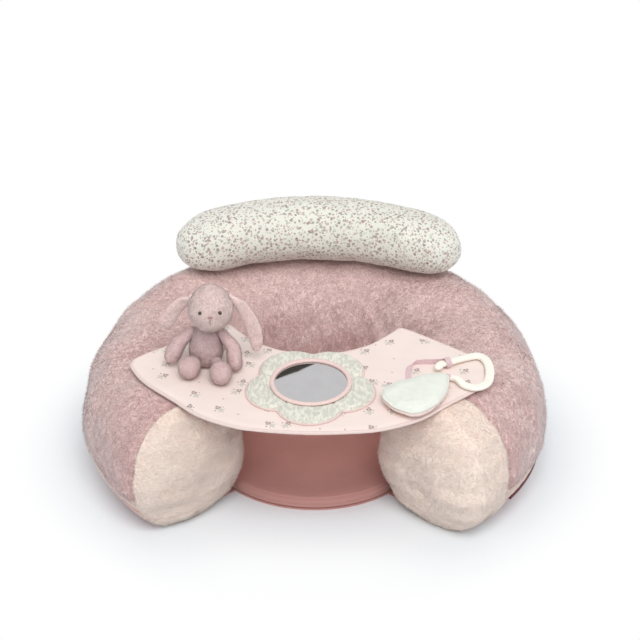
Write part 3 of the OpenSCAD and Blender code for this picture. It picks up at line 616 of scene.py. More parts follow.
class Paint:
    """A material under a Principled shader, with one method for all other nodes."""

    def __init__(self, name, roughness=0.9, **constant):
        self.material = bpy.data.materials.new(name)
        self.material.use_nodes = True
        self.tree = self.material.node_tree
        self.shader = self.tree.nodes["Principled BSDF"]
        self.shader.inputs["Roughness"].default_value = roughness
        for key, value in constant.items():
            self.shader.inputs[key.replace("_", " ")].default_value = value

    def node(self, kind, given, inputs, out=0):
        """A new node's output. given are its own settings and inputs its sockets' values
        or wires; a ramp's stops are pairs of place and colour."""
        new = self.tree.nodes.new(kind)
        for key, value in given.items():
            if key == "stops":
                ramp = new.color_ramp.elements
                while len(ramp) < len(value):
                    ramp.new(1)
                for stop, (place, colour) in zip(ramp, value):
                    stop.position, stop.color = place, (*colour, 1)
            else:
                setattr(new, key, value)
        for key, value in inputs.items():
            if isinstance(value, Wire):
                self.tree.links.new(value.socket, new.inputs[key])
            else:
                new.inputs[key].default_value = value
        return Wire(self, new.outputs[out])

    def place(self):
        """Where a point is on the object."""
        return self.node("ShaderNodeTexCoord", {}, {}, "Object")

    def split(self, vector):
        """A vector's three numbers."""
        parts = self.node("ShaderNodeSeparateXYZ", {}, {0: vector})
        return [Wire(self, parts.socket.node.outputs[k]) for k in range(3)]

    def vector(self, operation, a, b, out=0):
        """The result of a Vector Math node."""
        return self.node("ShaderNodeVectorMath", {"operation": operation}, {0: a, 1: b}, out)

    def length(self, vector):
        """A vector's length."""
        return self.vector("LENGTH", vector, (0, 0, 0), "Value")

    def noise(self, size, detail=3.0, at=None):
        """Noise whose lumps are about that size in metres."""
        values = {"Scale": 1 / size, "Detail": detail, "Roughness": 0.55}
        return self.node("ShaderNodeTexNoise", {}, values | {"Vector": at or self.place()})

    def cells(self, size, out, given=None, at=None, scatter=1.0):
        """A Voronoi pattern whose cells are about that size in metres."""
        values = {"Vector": at or self.place(), "Scale": 1 / size, "Randomness": scatter}
        return self.node("ShaderNodeTexVoronoi", given or {}, values, out)

    def mix(self, share, a, b):
        """A colour between a and b."""
        a, b = ((*c, 1) if not isinstance(c, Wire) else c for c in (a, b))
        return self.node("ShaderNodeMix", {"data_type": "RGBA"}, {0: share, 6: a, 7: b}, 2)

    def number(self, name):
        """A number that the mesh keeps for each point."""
        return self.node("ShaderNodeAttribute", {"attribute_name": name}, {}, "Fac")

    def bump(self, height, depth, strength=0.6, after=None):
        """Normals bent by a height from 0 to 1, which stands for that depth in metres."""
        values = {"Height": height, "Distance": depth, "Strength": strength}
        return self.node("ShaderNodeBump", {}, values | ({"Normal": after} if after else {}))

    def woven(self, pitch, depth, strength, lumps, detail, rise, share):
        """Normals of a weave over soft lumps: each has a size, a depth and a strength."""
        soft = self.bump(self.noise(lumps, detail), rise, share)
        return self.bump(weave(self, pitch), depth, strength, soft)

    def coloured(self, share, colour, dark, **wires):
        """The finished material in a colour that a share from 0 to 1 lightens."""
        return self.finish(Base_Color=self.mix(share, toned(colour, dark), colour), **wires)

    def finish(self, **wires):
        """Links the shader's sockets and returns the material."""
        for key, value in wires.items():
            socket = self.shader.inputs[key.replace("_", " ")]
            if isinstance(value, Wire):
                self.tree.links.new(value.socket, socket)
            else:
                socket.default_value = (*value, 1)
        return self.material


def plush(name, light, deep, sheen=0.5, grain=0.0021, flat=1.0):
    """A pile: its roots are painted deep, a painted shade, and its tips light, and each
    blade has its tone. flat stretches its grain sideways where it is under 1."""
    paint = Paint(name, 0.95, Sheen_Weight=sheen, Sheen_Roughness=0.45, Specular_IOR_Level=0.12)
    at = paint.vector("MULTIPLY", paint.place(), (*[flat] * 2, 1))
    tone, reach, fine = paint.number("tone"), paint.number("reach"), paint.noise(grain, 3, at=at)
    # reach darkens the roots towards the deep colour: painted shade
    share = (tone * 0.6 + reach * 0.3 + fine.within(0.3, 0.7) * 0.45 - 0.125).within(0.0, 1.0)
    normal = paint.bump(fine, grain * 0.9, 0.7)
    return paint.finish(Base_Color=paint.mix(share, deep, light), Normal=normal)


def weave(paint, pitch=0.0009):
    """A plain weave's height: two crossed waves on the object's coordinates."""
    x, y, z = paint.split(paint.place())
    turns = 2 * math.pi / pitch
    return ((x * turns).sine() * ((y + z) * turns).sine() + 1) * 0.5


def cloth(name, colour, shade, crease=0.03, rough=0.85, sheen=0.15, nap=0.0, rim=None):
    """A plain cloth with slight creases: its colour turns to the shade in the creases'
    hollows, a painted shade, and with its fine grain, and turns to the rim's colour, a
    painted shade, between two distances from the seat's axis."""
    paint = Paint(name, rough, Sheen_Weight=sheen, Specular_IOR_Level=0.2)
    wander = paint.noise(crease, 4.0)
    fine = paint.noise(0.0016, 2.0)
    # the crease noise that bumps the normals also darkens their hollows: painted shade
    share = (wander * 0.8 + fine * (0.3 + nap) - 0.15).within(0.1, 0.95)
    normal = paint.bump(weave(paint), 0.0002, 0.35, paint.bump(wander, 0.004, 0.35))
    normal = paint.bump(fine, 0.0006, 0.3 + nap, normal)
    colour = paint.mix(share, shade, colour)
    if rim:
        far = paint.length(paint.vector("MULTIPLY", paint.place(), (1, 1, 0)))
        colour = paint.mix(far.within(*rim[1:]), colour, rim[0])
    return paint.finish(Base_Color=colour, Normal=normal)


def moulded(name, colour, dark, rough, size, grain, depth, strength, **constant):
    """A smooth finish: its colour wanders to a darker one over a size, and a fine grain
    bends its normals."""
    paint = Paint(name, rough, **constant)
    share = paint.noise(size).within(0.2, 0.8)
    normal = paint.bump(paint.noise(grain, 2), depth, strength)
    return paint.coloured(share, colour, dark, Normal=normal)


def toned(colour, share):
    """A colour's light times a share."""
    return tuple(c * share for c in colour)


# -------------------------------------------------------------- the cushion


def ring_top(deg):
    """Height of the cushion's crown: from the arms' to the back's height, as a power of
    (1 + cos) / 2 of the angle round the seat."""
    c = settings().cushion
    share = ((1 + np.cos(np.radians(deg))) / 2) ** c.rise
    return c.arm_height + (c.back_height - c.arm_height) * share


def side_reach(z):
    """How far the section reaches from its middle at a height below its widest."""
    c = settings().cushion
    drop = (c.widest - z) / c.low_depth
    return c.half_width * np.maximum(0, 1 - drop**c.squareness) ** (1 / c.squareness)


def skin(deg, tip, th, inset=0.0):
    """Points of the cushion's skin. deg runs round the seat, tip from 0 to 90 over an
    arm's rounded end, th round the section from its outer side over the top. The
    section's cosine and sine are raised to 2 / squareness. It shrinks towards a tip as
    cos(tip) to that power, while the tip goes ahead as its sine."""
    c = settings().cushion
    deg, tip, th = (np.radians(v) for v in np.broadcast_arrays(deg, tip, th))
    power = 2 / c.squareness
    k = np.cos(tip) ** power
    over = (c.tip_length - inset) * np.sin(tip) ** power * np.sign(deg)
    out = c.ring_radius + (c.half_width - inset) * k * bend(np.cos(th), power)
    upper = ring_top(np.degrees(deg)) - c.widest - inset
    half = np.where(np.sin(th) >= 0, upper, (c.low_depth - inset) * k)
    z = np.maximum(c.widest + half * k * bend(np.sin(th), power), c.base)
    x = out * np.sin(deg) + over * np.cos(deg)
    return np.stack([x, out * np.cos(deg) - over * np.sin(deg), z], -1)


def around(r, z, deg):
    """Points at a radius and a height, at an angle round the seat."""
    r, z, deg = np.broadcast_arrays(r, z, np.radians(deg))
    return np.stack([r * np.sin(deg), r * np.cos(deg), z], -1)


def arc(c, count):
    """Angles of the back's panel, from its left to its right seam."""
    return np.linspace(-c.left_seam, c.right_seam, count)


def edge(count, reach):
    """1 at both ends of a row of points, fading within so many points."""
    place = np.arange(count)
    return np.maximum(bell(place, reach), bell(count - 1 - place, reach))


class FLOORSEAT_OT_back(bpy.types.Operator):
    """Sews the plush panel over the back and arms and blows it up between its seams"""

    bl_idname = "floorseat.back"
    bl_label = "Back cover"

    def execute(self, context):
        c, pile, colours = settings().cushion, settings().pile, settings().colours
        cols, rows = 66, 176
        deg = arc(c, rows)[:, None]
        low = [
            math.degrees(math.asin(((c.widest - seam) / c.low_depth) ** (c.squareness / 2)))
            for seam in (c.plush_seam - 0.003, c.lining_seam)
        ]
        th = np.linspace(-low[0], 180 + low[1], cols)[None]
        tuck = np.maximum(edge(rows, 1.0)[:, None], edge(cols, 1.0)[None]) * TUCK
        over = 0.0058 * bell(np.arange(cols) - 1, 4.0)[None]
        grid = skin(deg, 0, th, 0.0034 + tuck - over)
        form = Form(grid, inside=around(c.ring_radius, c.widest, np.repeat(arc(c, rows), cols)))
        inner = np.zeros((rows - 2, cols - 2), bool)
        held = np.flatnonzero(np.pad(inner, 1, constant_values=True))
        form = blown_up(form, held, 2.6, 0.012, 0.007)
        grid = refined(form.points.reshape(rows, cols, 3), 440, 150)
        form = Form(grid, inside=around(c.ring_radius, c.widest, np.repeat(arc(c, 440), 150)))
        sizes = ((0.0026, 0.12), (0.0012, 0.05), (0.0003, 0.018))
        relief = sum(deep * ripple(form.points, wave, 1) for deep, wave in sizes)
        form.pushed(np.maximum(relief, -DEEPEST))

        left, right = np.radians(c.left_seam), np.radians(c.right_seam)

        def comb(at):
            """Over the seams at both arms' ends, square to them, and down over the band."""
            turn = np.arctan2(at[:, 0], at[:, 1])
            past = 1.5 * bell(turn - right, 0.03) - 1.5 * bell(turn + left, 0.03)
            low = step(at[:, 2], c.plush_seam + 0.008, c.plush_seam - 0.006)
            low = low * (np.hypot(at[:, 0], at[:, 1]) > c.ring_radius)
            return np.stack([np.cos(turn) * past, -np.sin(turn) * past, -0.9 * low], -1)

        def shade(at):
            """Painted shade: darker beside the seams of both ends."""
            turn = np.arctan2(at[:, 0], at[:, 1])
            return 0.26 * (bell(turn - right, 0.22) + bell(turn + left, 0.22))

        def where(at):
            """Thicker along the lower seam."""
            return 1 + 2.5 * bell(at[:, 2] - c.plush_seam + 0.006, 0.008)

        blades = pile.plush_blades, pile.plush_length, pile.plush_width
        mesh = piled("back_plush", form, *blades, 3, where=where, comb=comb, shade=shade)
        paint = plush("Mauve plush", colours.mauve, colours.mauve_deep, 0.62)
        piece("back_plush", mesh, paint, "seat", "mauve_plush", ["back_cover"])
        return {"FINISHED"}


class FLOORSEAT_OT_ends(bpy.types.Operator):
    """Closes both arms with pale rounded ends"""

    bl_idname = "floorseat.ends"
    bl_label = "Arm ends"

    def execute(self, context):
        c, pile, colours = settings().cushion, settings().pile, settings().colours
        paint = plush("Cream plush", colours.cream, colours.cream_deep, 0.25, 0.002, 0.45)
        for name, way, seam in (("left", -1, c.left_seam), ("right", 1, c.right_seam)):
            straight = np.linspace(seam, c.arm_angle, 3 + round((c.arm_angle - seam) * 0.8))
            if seam == c.arm_angle:
                straight = straight[:1]
            sides = 84
            tips = 90 * np.linspace(0, 0.985, 26)[1:] ** 1.05
            deg = np.concatenate([straight, np.full(25, c.arm_angle)])[:, None] * way
            tip = np.concatenate([0 * straight, tips])[:, None]
            th = np.linspace(0, 360, sides, endpoint=False)[None]
            tuck = TUCK * bell(np.arange(len(deg)), 1.0)[:, None]
            tuck = tuck * step(np.sin(np.radians(th)), -0.9, -0.1)
            grid = skin(deg, tip, th, 0.0014 + tuck)
            middle = around(c.ring_radius, c.widest, way * c.arm_angle)
            form = Form(grid, True, (None, skin(way * c.arm_angle, 90, 0, 0.0014)), middle)
            low = form.points[:, 2] < c.base + 0.0005
            low[:sides] = True
            form = blown_up(form, np.flatnonzero(low), 1.6, 0.02, 0.004)
            grid = form.points[:-1].reshape(-1, sides, 3)
            grid = refined(grid, 4 * len(deg), 220, wrap=True)
            form = Form(grid, True, (None, form.points[-1]), middle)
            swell = 0.0010 * ripple(form.points, 0.07, 4) + 0.0002 * ripple(form.points, 0.018, 5)
            swell = swell + 0.0014 * ripple(form.points * [0.35, 0.35, 1.25], 0.034, 8)
            swell = swell - 0.0014 * bell(form.points[:, 2] - END_SEAM, 0.0022)
            swell = np.maximum(swell, -DEEPEST)
            form.pushed(np.where(form.points[:, 2] < c.base + 0.002, 0, swell))
            form.points[:, 2] = np.maximum(form.points[:, 2], c.base + 0.0003)
            blades = pile.end_blades, pile.end_length, pile.end_width
            mesh = piled(f"end_{name}", form, *blades, 6, where=self.where)
            piece(f"end_{name}", mesh, paint, "seat", "cream_plush", [f"arm_end_{name}"])
        return {"FINISHED"}

    def where(self, at):
        """Thinner in the seam that runs round above the floor."""
        return 1 - 0.9 * bell(at[:, 2] - END_SEAM, 0.0016)


class FLOORSEAT_OT_hollow(bpy.types.Operator):
    """Lines the hollow and lays the padded floor in it"""

    bl_idname = "floorseat.hollow"
    bl_label = "Lining and floor"

    def execute(self, context):
        c, colours = settings().cushion, settings().colours
        shades = colours.lining, toned(colours.lining, 0.86)
        lining = cloth("Lining", *shades, 0.05, nap=0.3)
        # painted shade: the padded floor turns a darker rose towards its edge, evening its lit
        # front edge against the middle that the tray shades
        rim = (toned(colours.rose, 0.8), 0.05, 0.149)
        padded = cloth("Floor cloth", *shades, 0.05, nap=0.3, rim=rim)
        cols, rows = 150, 26
        deg = arc(c, cols)[None]
        foot, top = c.floor_radius + 0.0006, c.ring_radius - side_reach(c.lining_seam)
        profile = smooth([
            [foot, 0.004], [foot, 0.012], [foot - 0.0002, c.floor_height],
            [(foot + top) / 2 - 0.003, 0.0435], [top - 0.0014, 0.062], [top + 0.002, 0.0712],
            [top + 0.012, 0.0735],
        ], rows)
        grid = around(profile[:, :1], profile[:, 1:], deg)
        form = Form(grid, inside=around(0.3, 0.05, (deg + 0 * profile[:, 1:]).ravel()))
        held = np.zeros((rows, cols), bool)
        held[:6] = held[-2:] = held[:, :1] = held[:, -1:] = True
        form = blown_up(form, np.flatnonzero(held), 0.9, 0.015, 0.003)
        form.pushed(np.where(held.ravel(), 0, 0.0009 * ripple(form.points, 0.05, 7)))
        piece("lining", form, lining, "seat", "rose_cloth", ["seat_lining"], levels=1)

        r, high = c.floor_radius, c.floor_height
        e = np.radians(np.linspace(0, 90, 9))
        fall = np.stack([r - 0.0075 + 0.0075 * np.sin(e), high - 0.0065 + 0.0065 * np.cos(e)], -1)
        crown = np.stack([np.linspace(0.006, r - 0.0085, 34), np.full(34, high)], -1)
        crown[:, 1] += 0.0022 * (1 - (crown[:, 0] / r) ** 2)
        under = [[r - 0.0004, 0.0088], [r - 0.0009, 0.008], [r - 0.0004, 0.0072], [r, 0.0055],
                 [r - 0.0008, 0.003], [r - 0.003, 0.0022]]
        profile = np.concatenate([crown, fall, under])
        turn = np.linspace(-180, 180, cols, endpoint=False)[None]
        grid = around(profile[:, :1], profile[:, 1:], turn)
        form = Form(grid, True, ([0, 0, high + 0.0022], [0, 0, 0.0022]))
        held = np.zeros((len(profile), cols), bool)
        held[36:] = True
        form = blown_up(form, np.flatnonzero(held), 1.1, 0.012, 0.003)
        rise = np.append(np.where(held, 0, 0.0007).ravel(), [0.0007, 0])
        form.pushed(rise * ripple(form.points, 0.06, 8))
        floor = ["floor_cover", "floor_foam"]
        piece("floor_pad", form, padded, "seat", "rose_cloth", floor, levels=1)
        return {"FINISHED"}


class FLOORSEAT_OT_bands(bpy.types.Operator):
    """Sews the smooth band and the base band on each side of the zip"""

    bl_idname = "floorseat.bands"
    bl_label = "Bands and base"

    def execute(self, context):
        c, colours = settings().cushion, settings().colours
        sand = cloth("Sand band", colours.sand, toned(colours.sand, 0.86), 0.03, 0.7, 0.3)
        low = cloth("Base band", colours.base, toned(colours.base, 0.84), 0.04)
        deg = np.linspace(-c.left_seam - 1.3, c.right_seam + 1.3, 430)[None]
        dive = 0.004 * step(np.maximum(deg - c.right_seam, -deg - c.left_seam), 0.1, 1.3)
        strips = (
            ("side_strip", c.zip_height, c.plush_seam + 0.006, sand, "side_band", "sand_cloth"),
            ("base_strip", c.base + 0.0002, c.zip_height, low, "base_band", "rose_cloth"),
        )
        for name, bottom, top, paint, node, slot in strips:
            t = np.linspace(0, 1, 18)[:, None]
            z = bottom + (top - bottom) * t
            crown = 1 - (2 * t - 1) ** 6
            pucker = 0.0007 * np.sin(deg * 1.9 + 2 * np.sin(deg * 0.31)) * (2 * t - 1) ** 2
            hem = 0.004 * step(t, 0.9, 1.0)
            if name == "side_strip":
                hem = 0.010 * step(t, 0.72, 1.0) + 0.004 * step(t, 0.14, 0.0)
            r = c.ring_radius + side_reach(z) - 0.0014 + 0.0013 * crown + pucker * crown
            r = r - hem - dive
            grid = around(r, z + 0 * deg, deg + 0 * z)
            form = Form(grid, inside=around(c.ring_radius, 0.05, (deg + 0 * z).ravel()))
            piece(name, form, paint, "seat", slot, [node], levels=1)
        return {"FINISHED"}


# ---------------------------------------------------------------- the tray


TRAY_HALF = np.array([
    [0, -123], [60, -119], [100, -111], [147, -88], [184, -54], [225, -15], [245, 15], [250, 33],
    [239, 51], [188, 90], [134, 128], [120, 132], [109, 120], [88, 97], [70, 83], [40, 69],
]) / 1000


def tray_outline(count):
    """The tray's closed outline in its own plane, as a smooth curve."""
    left = TRAY_HALF[:0:-1] * [-1, 1]
    return smooth(np.concatenate([TRAY_HALF, [[0, 0.063]], left]), count, closed=True)


def inset_line(line, by):
    """A closed line moved inwards, square to its own direction."""
    along = unit(np.roll(line, -1, 0) - np.roll(line, 1, 0))
    return line + np.stack([-along[:, 1], along[:, 0]], -1) * by


def on_tray(points):
    """Points of the tray's own frame in the seat's."""
    t = settings().tray
    return turned(points, t.tilt) + [0, -t.origin, t.height]


def on_flower(points):
    """Points of the flower's frame, which starts 0.3 mm over the tray, in the seat's."""
    t = settings().tray
    return on_tray(points + [0, -t.flower_ahead, t.thickness / 2 + 0.0003])


def plate(line, centre, spans, height):
    """A grid over the inside of a closed line: rows go from near the centre out to the
    line, and height gives z for a share of the way, 0 to 1."""
    share = spans[:, None]
    flat = centre + share[..., None] * (line[None] - centre)
    return np.concatenate([flat, height(share + 0 * line[None, :, 0])[..., None]], -1)


class FLOORSEAT_OT_tray(bpy.types.Operator):
    """Makes the printed tray with its underside and its bound edge"""

    bl_idname = "floorseat.tray"
    bl_label = "Tray"

    def execute(self, context):
        t, colours = settings().tray, settings().colours
        half = t.thickness / 2
        line = inset_line(tray_outline(400), 0.0022)
        centre = np.array([0, -0.02])
        spans = 1 - (1 - np.linspace(0.03, 1, 60)) ** 1.25
        top = plate(line, centre, spans, lambda s: half - 0.0011 * step(s, 0.93, 1.0))
        wave = 0.00022 * ripple(top.reshape(-1, 3), 0.035, 11).reshape(top.shape[:2])
        top[..., 2] += wave * (1 - step(spans, 0.93, 1.0))[:, None]
        form = Form(top, True, ([0, -0.02, half], None), [0, 0, -1]).placed(on_tray)
        piece("tray_face", form, self.cotton(), "tray", "tray_print", ["tray_top"])

        low = plate(line, centre, spans, lambda s: -half + 0.0011 * step(s, 0.93, 1.0))
        form = Form(low, True, ([0, -0.02, -half], None), [0, 0, 1]).placed(on_tray)
        back = cloth("Tray underside", colours.rose, toned(colours.rose, 0.85), 0.03)
        piece("tray_back", form, back, "tray", "tray_backing", ["tray_underside"])

        cols, rows = 14, 2200
        line = inset_line(tray_outline(rows), 0.0014)
        th = circle(cols)
        fold = 1 + 0.05 * ripple(np.pad(line, ((0, 0), (0, 1))), 0.012, 12)[:, None]
        wide = (0.0021 * bend(np.cos(th), 0.85) * fold)[..., None]
        tall = (0.0024 * bend(np.sin(th), 0.75) * fold)[..., None]
        outwards = (inset_line(line, -1) - line)[:, None]
        grid = np.concatenate([line[:, None] + outwards * wide, tall], -1)
        form = ring(grid).placed(on_tray)
        mesh = write_mesh("tray_edge", form.points, form.quads, form.tris)
        stitches = np.sin(circle(rows) * 330)
        keep_numbers(mesh, "stitch", np.repeat(stitches, cols))
        keep_numbers(mesh, "side", np.tile(bell(np.degrees(th) - 150, 14), rows))
        paint = Paint("Binding", 0.75, Sheen_Weight=0.25, Specular_IOR_Level=0.25)
        stitch = paint.number("stitch").within(-0.2, 0.5) * paint.number("side")
        # the binding darkens between the stitches' raised crests: painted shade
        share = paint.noise(0.006) * 0.7 + stitch * 0.5
        normal = paint.bump(stitch, 0.0006, 0.6, paint.bump(weave(paint), 0.0002, 0.4))
        paint = paint.coloured(share.within(0.1, 0.9), colours.binding, 0.86, Normal=normal)
        piece("tray_edge", mesh, paint, "tray", "pink_binding", ["tray_binding"])
        return {"FINISHED"}

    def cotton(self):
        """Cotton with small blossoms of four dots and two leaves, and single dots."""
        colours = settings().colours
        paint = Paint("Tray cotton", 0.8, Sheen_Weight=0.15, Specular_IOR_Level=0.25)
        pitch, flat = 0.034, {"voronoi_dimensions": "2D"}
        middle = paint.cells(pitch, "Position", flat, scatter=0.6)
        a, b = paint.split(paint.vector("SUBTRACT", paint.place(), middle))[:2]
        kind = paint.split(paint.cells(pitch, "Color", flat, scatter=0.6))
        turn = kind[0] * 2.2 - 1.1
        cos, sin = (turn + math.pi / 2).sine(), turn.sine()
        u, v = a * cos + b * sin, b * cos - a * sin

        def spot(dx, dy, r, stretch=1.0, slant=0.0):
            """1 inside an oval spot of the motif, 0 outside."""
            a, b = u - dx, v - dy
            a, b = a + b * slant, (b - a * slant) * stretch
            return (a * a + b * b).by("SQRT").within(r * 1.25, r * 0.75)

        bloom = spot(0.0022, 0.0034, 0.0021)
        for dx, dy in ((-0.0019, 0.0038), (0.0003, 0.0068)):
            bloom = bloom.most(spot(dx, dy, 0.0021))
        bloom = bloom.most(spot(-0.0064, 0.0004, 0.0013)).most(spot(0.0062, 0.0012, 0.0012, 1.4))
        heart = spot(0.0002, 0.0046, 0.001)
        leaves = spot(0.0046, -0.0034, 0.0034, 2.6, -0.8)
        leaves = leaves.most(spot(-0.0036, -0.004, 0.0032, 2.6, 0.9))
        leaves = leaves.most(spot(0.0002, -0.0012, 0.0026, 0.35))
        large = kind[1].within(0.30, 0.32)
        dots = spot(0.001, 0.001, 0.0015) * (1 - large)
        bloom, heart, leaves = (part * large for part in (bloom, heart, leaves))
        wander = paint.noise(0.05).within(0.2, 0.8)
        ground = paint.mix(wander, toned(colours.tray, 0.95), colours.tray)
        colour = paint.mix(leaves * 0.42, ground, toned(colours.sage, 0.8))
        colour = paint.mix(dots * 0.7, colour, colours.mauve_deep)
        colour = paint.mix(bloom * 0.62, colour, colours.plum)
        colour = paint.mix(heart * 0.9, colour, colours.tray)
        normal = paint.woven(0.0007, 0.00015, 0.4, 0.022, 2, 0.001, 0.4)
        return paint.finish(Base_Color=colour, Normal=normal)


class FLOORSEAT_OT_flower(bpy.types.Operator):
    """Makes the padded flower round its mirror"""

    bl_idname = "floorseat.flower"
    bl_label = "Flower mirror"

    def execute(self, context):
        t, colours = settings().tray, settings().colours
        count = 300
        a = np.linspace(0, 360, count, endpoint=False)
        from_petal = 36 - np.abs(a % 72 - 36)
        f = np.radians(from_petal)
        reach = np.sqrt(t.petal_radius**2 - (t.petal_reach * np.sin(f)) ** 2)
        reach = reach + t.petal_reach * np.cos(f)
        to = np.stack([np.cos(np.radians(a - 90)), np.sin(np.radians(a - 90))], -1)
        line = to * reach[:, None]

        rim_out = t.mirror_radius + t.rim_width
        s = np.linspace(0, 1, 26)[:, None]
        r = rim_out - 0.005 + s * (reach[None] - 0.0008 - rim_out + 0.005)
        puff = np.sqrt(np.clip(1 - np.abs(2 * s - 1) ** 2.4, 0, 1))
        valley = bell(np.radians(36 - from_petal)[None] * r, 0.0028)
        z = t.backing + t.padding * (0.12 + 0.95 * puff * (1 - 0.62 * valley))
        z = np.where(s > 0.999, t.backing, z)
        grid = np.concatenate([to[None] * r[..., None], z[..., None]], -1)
        form = Form(grid, True, inside=np.array([0, 0, -1])).placed(on_flower)
        form.pushed(0.0004 * ripple(form.points, 0.02, 13))
        body = "flower_mirror"
        minky, nodes = self.minky(), ["flower_front"]
        piece("flower_face", form, minky, body, "sage_plush", nodes, levels=1)

        top = 0.0026
        rows = [
            [0.0006, 0.0], [-0.0006, 0.0001], [-0.0012, 0.0012], [-0.0006, 0.0022], [0.001, top],
            [0.004, top],
        ]
        rows = [(inset_line(line, by), z) for by, z in rows]
        rows = [(0.9 * line, 0.0), *rows, (0.9 * line, top)]
        grid = np.stack([np.pad(flat, ((0, 0), (0, 1)), constant_values=z) for flat, z in rows])
        form = Form(grid, True, ([0, 0, 0], [0, 0, top])).placed(on_flower)
        back = cloth("Flower backing", colours.rim, toned(colours.rim, 0.85), 0.01, nap=0.2)
        piece("flower_back", form, back, body, "pink_backing", ["flower_backing"])

        th, turn = circle(18)[:, None], circle(720)[None]
        fold = 1 + 0.07 * np.sin(turn * 86 + 1.5 * np.sin(turn * 9)) + 0.05 * np.sin(turn * 131)
        r = t.mirror_radius + 0.0029 + 0.0031 * bend(np.cos(th), 0.9) * (0.94 + 0.06 * fold)
        z = t.backing + t.padding + 0.0009 + 0.0023 * bend(np.sin(th), 0.9) * fold
        grid = np.stack([r * np.cos(turn), r * np.sin(turn), z + 0 * turn], -1)
        satin = moulded(
            "Satin rim", colours.rim, 0.9, 0.42, 0.004, 0.0015, 0.0004, 0.5,
            Sheen_Weight=0.3, Specular_IOR_Level=0.45,
        )
        form = ring(grid).placed(on_flower)
        piece("mirror_rim_satin", form, satin, body, "rim_cloth", ["mirror_rim"])
        return {"FINISHED"}

    def minky(self):
        """Plush with short raised ribs that run front to back, painted lighter on the ribs and
        darker between them: painted light and shade.
        """
        paint = Paint("Sage plush", 0.95, Sheen_Weight=0.45, Specular_IOR_Level=0.1)
        at = paint.vector("MULTIPLY", paint.place(), (1, 0.42, 1))
        raised = paint.noise(0.0042, 1.5, at=at).within(0.36, 0.62)
        fuzz = paint.noise(0.0012, 2)
        # the ribs' height lightens their tops, a painted highlight, and darkens the valleys, a
        # painted shade
        share = (raised * 0.55 + fuzz * 0.5 + paint.noise(0.02) * 0.3 - 0.15).within(0, 1)
        normal = paint.bump(fuzz, 0.0008, 0.6, paint.bump(raised, 0.0011, 0.8))
        return paint.coloured(share, settings().colours.minky, 0.74, Normal=normal)


# ----------------------------------------------------- leaf, link and ribbon


LEAF_LINE = np.array([
    [95, -52], [105, -74], [122, -90], [143, -95], [165, -78], [181, -50], [186, -24], [183, -5],
    [154, -9], [131, -21], [108, -31],
]) / 1000
LINK_ROWS = np.array([
    [173, 17, 8, 2, 3], [173, 20, 8, 3.3, 5], [176, 28, 8, 3.5, 5], [185, 33, 8, 3.5, 5],
    [207, 47, 6, 3.5, 5], [228, 57, 3.8, 3.5, 5.5], [240, 44, 3.8, 3.5, 5.5],
    [243, 15, 3.8, 3.5, 5.5], [238, -9, 3.8, 3.5, 5.5], [223, -20, 3.8, 3.5, 5.5],
    [207, -16, 5, 3.5, 5], [199, -5, 6, 3.5, 4.5], [190, -1, 6.5, 3.5, 4], [180, -1, 6.5, 3.5, 4],
    [177, -1, 6.5, 2, 3],
]) / 1000
RIBBON_ROWS = np.array([
    [132, -8, 0.6, 1, 0, 0.02], [132, 8, 0.6, 1, 0, 0.02], [132.2, 22, 0.8, 1, -0.1, 0.1],
    [134.5, 32, 1.8, 0.85, -0.35, 0.4], [141, 38, 3.4, 0.35, -0.2, 0.95], [152, 39.8, 4.4, 0, 0, 1],
    [166, 40, 4.8, 0, 0, 1], [178, 39.8, 6, 0.1, 0, 1], [182.5, 38.2, 8, 0.4, 0.2, 0.9],
])
LOOP_MIDDLE = np.array([0.185, 0.033, 0.008])
LOOP_RADIUS, LOOP_TURN = 0.00672, math.radians(31)


def on_face(points):
    """Points over the tray's upper face in the seat's frame."""
    return on_tray(points + [0, 0, settings().tray.thickness / 2])


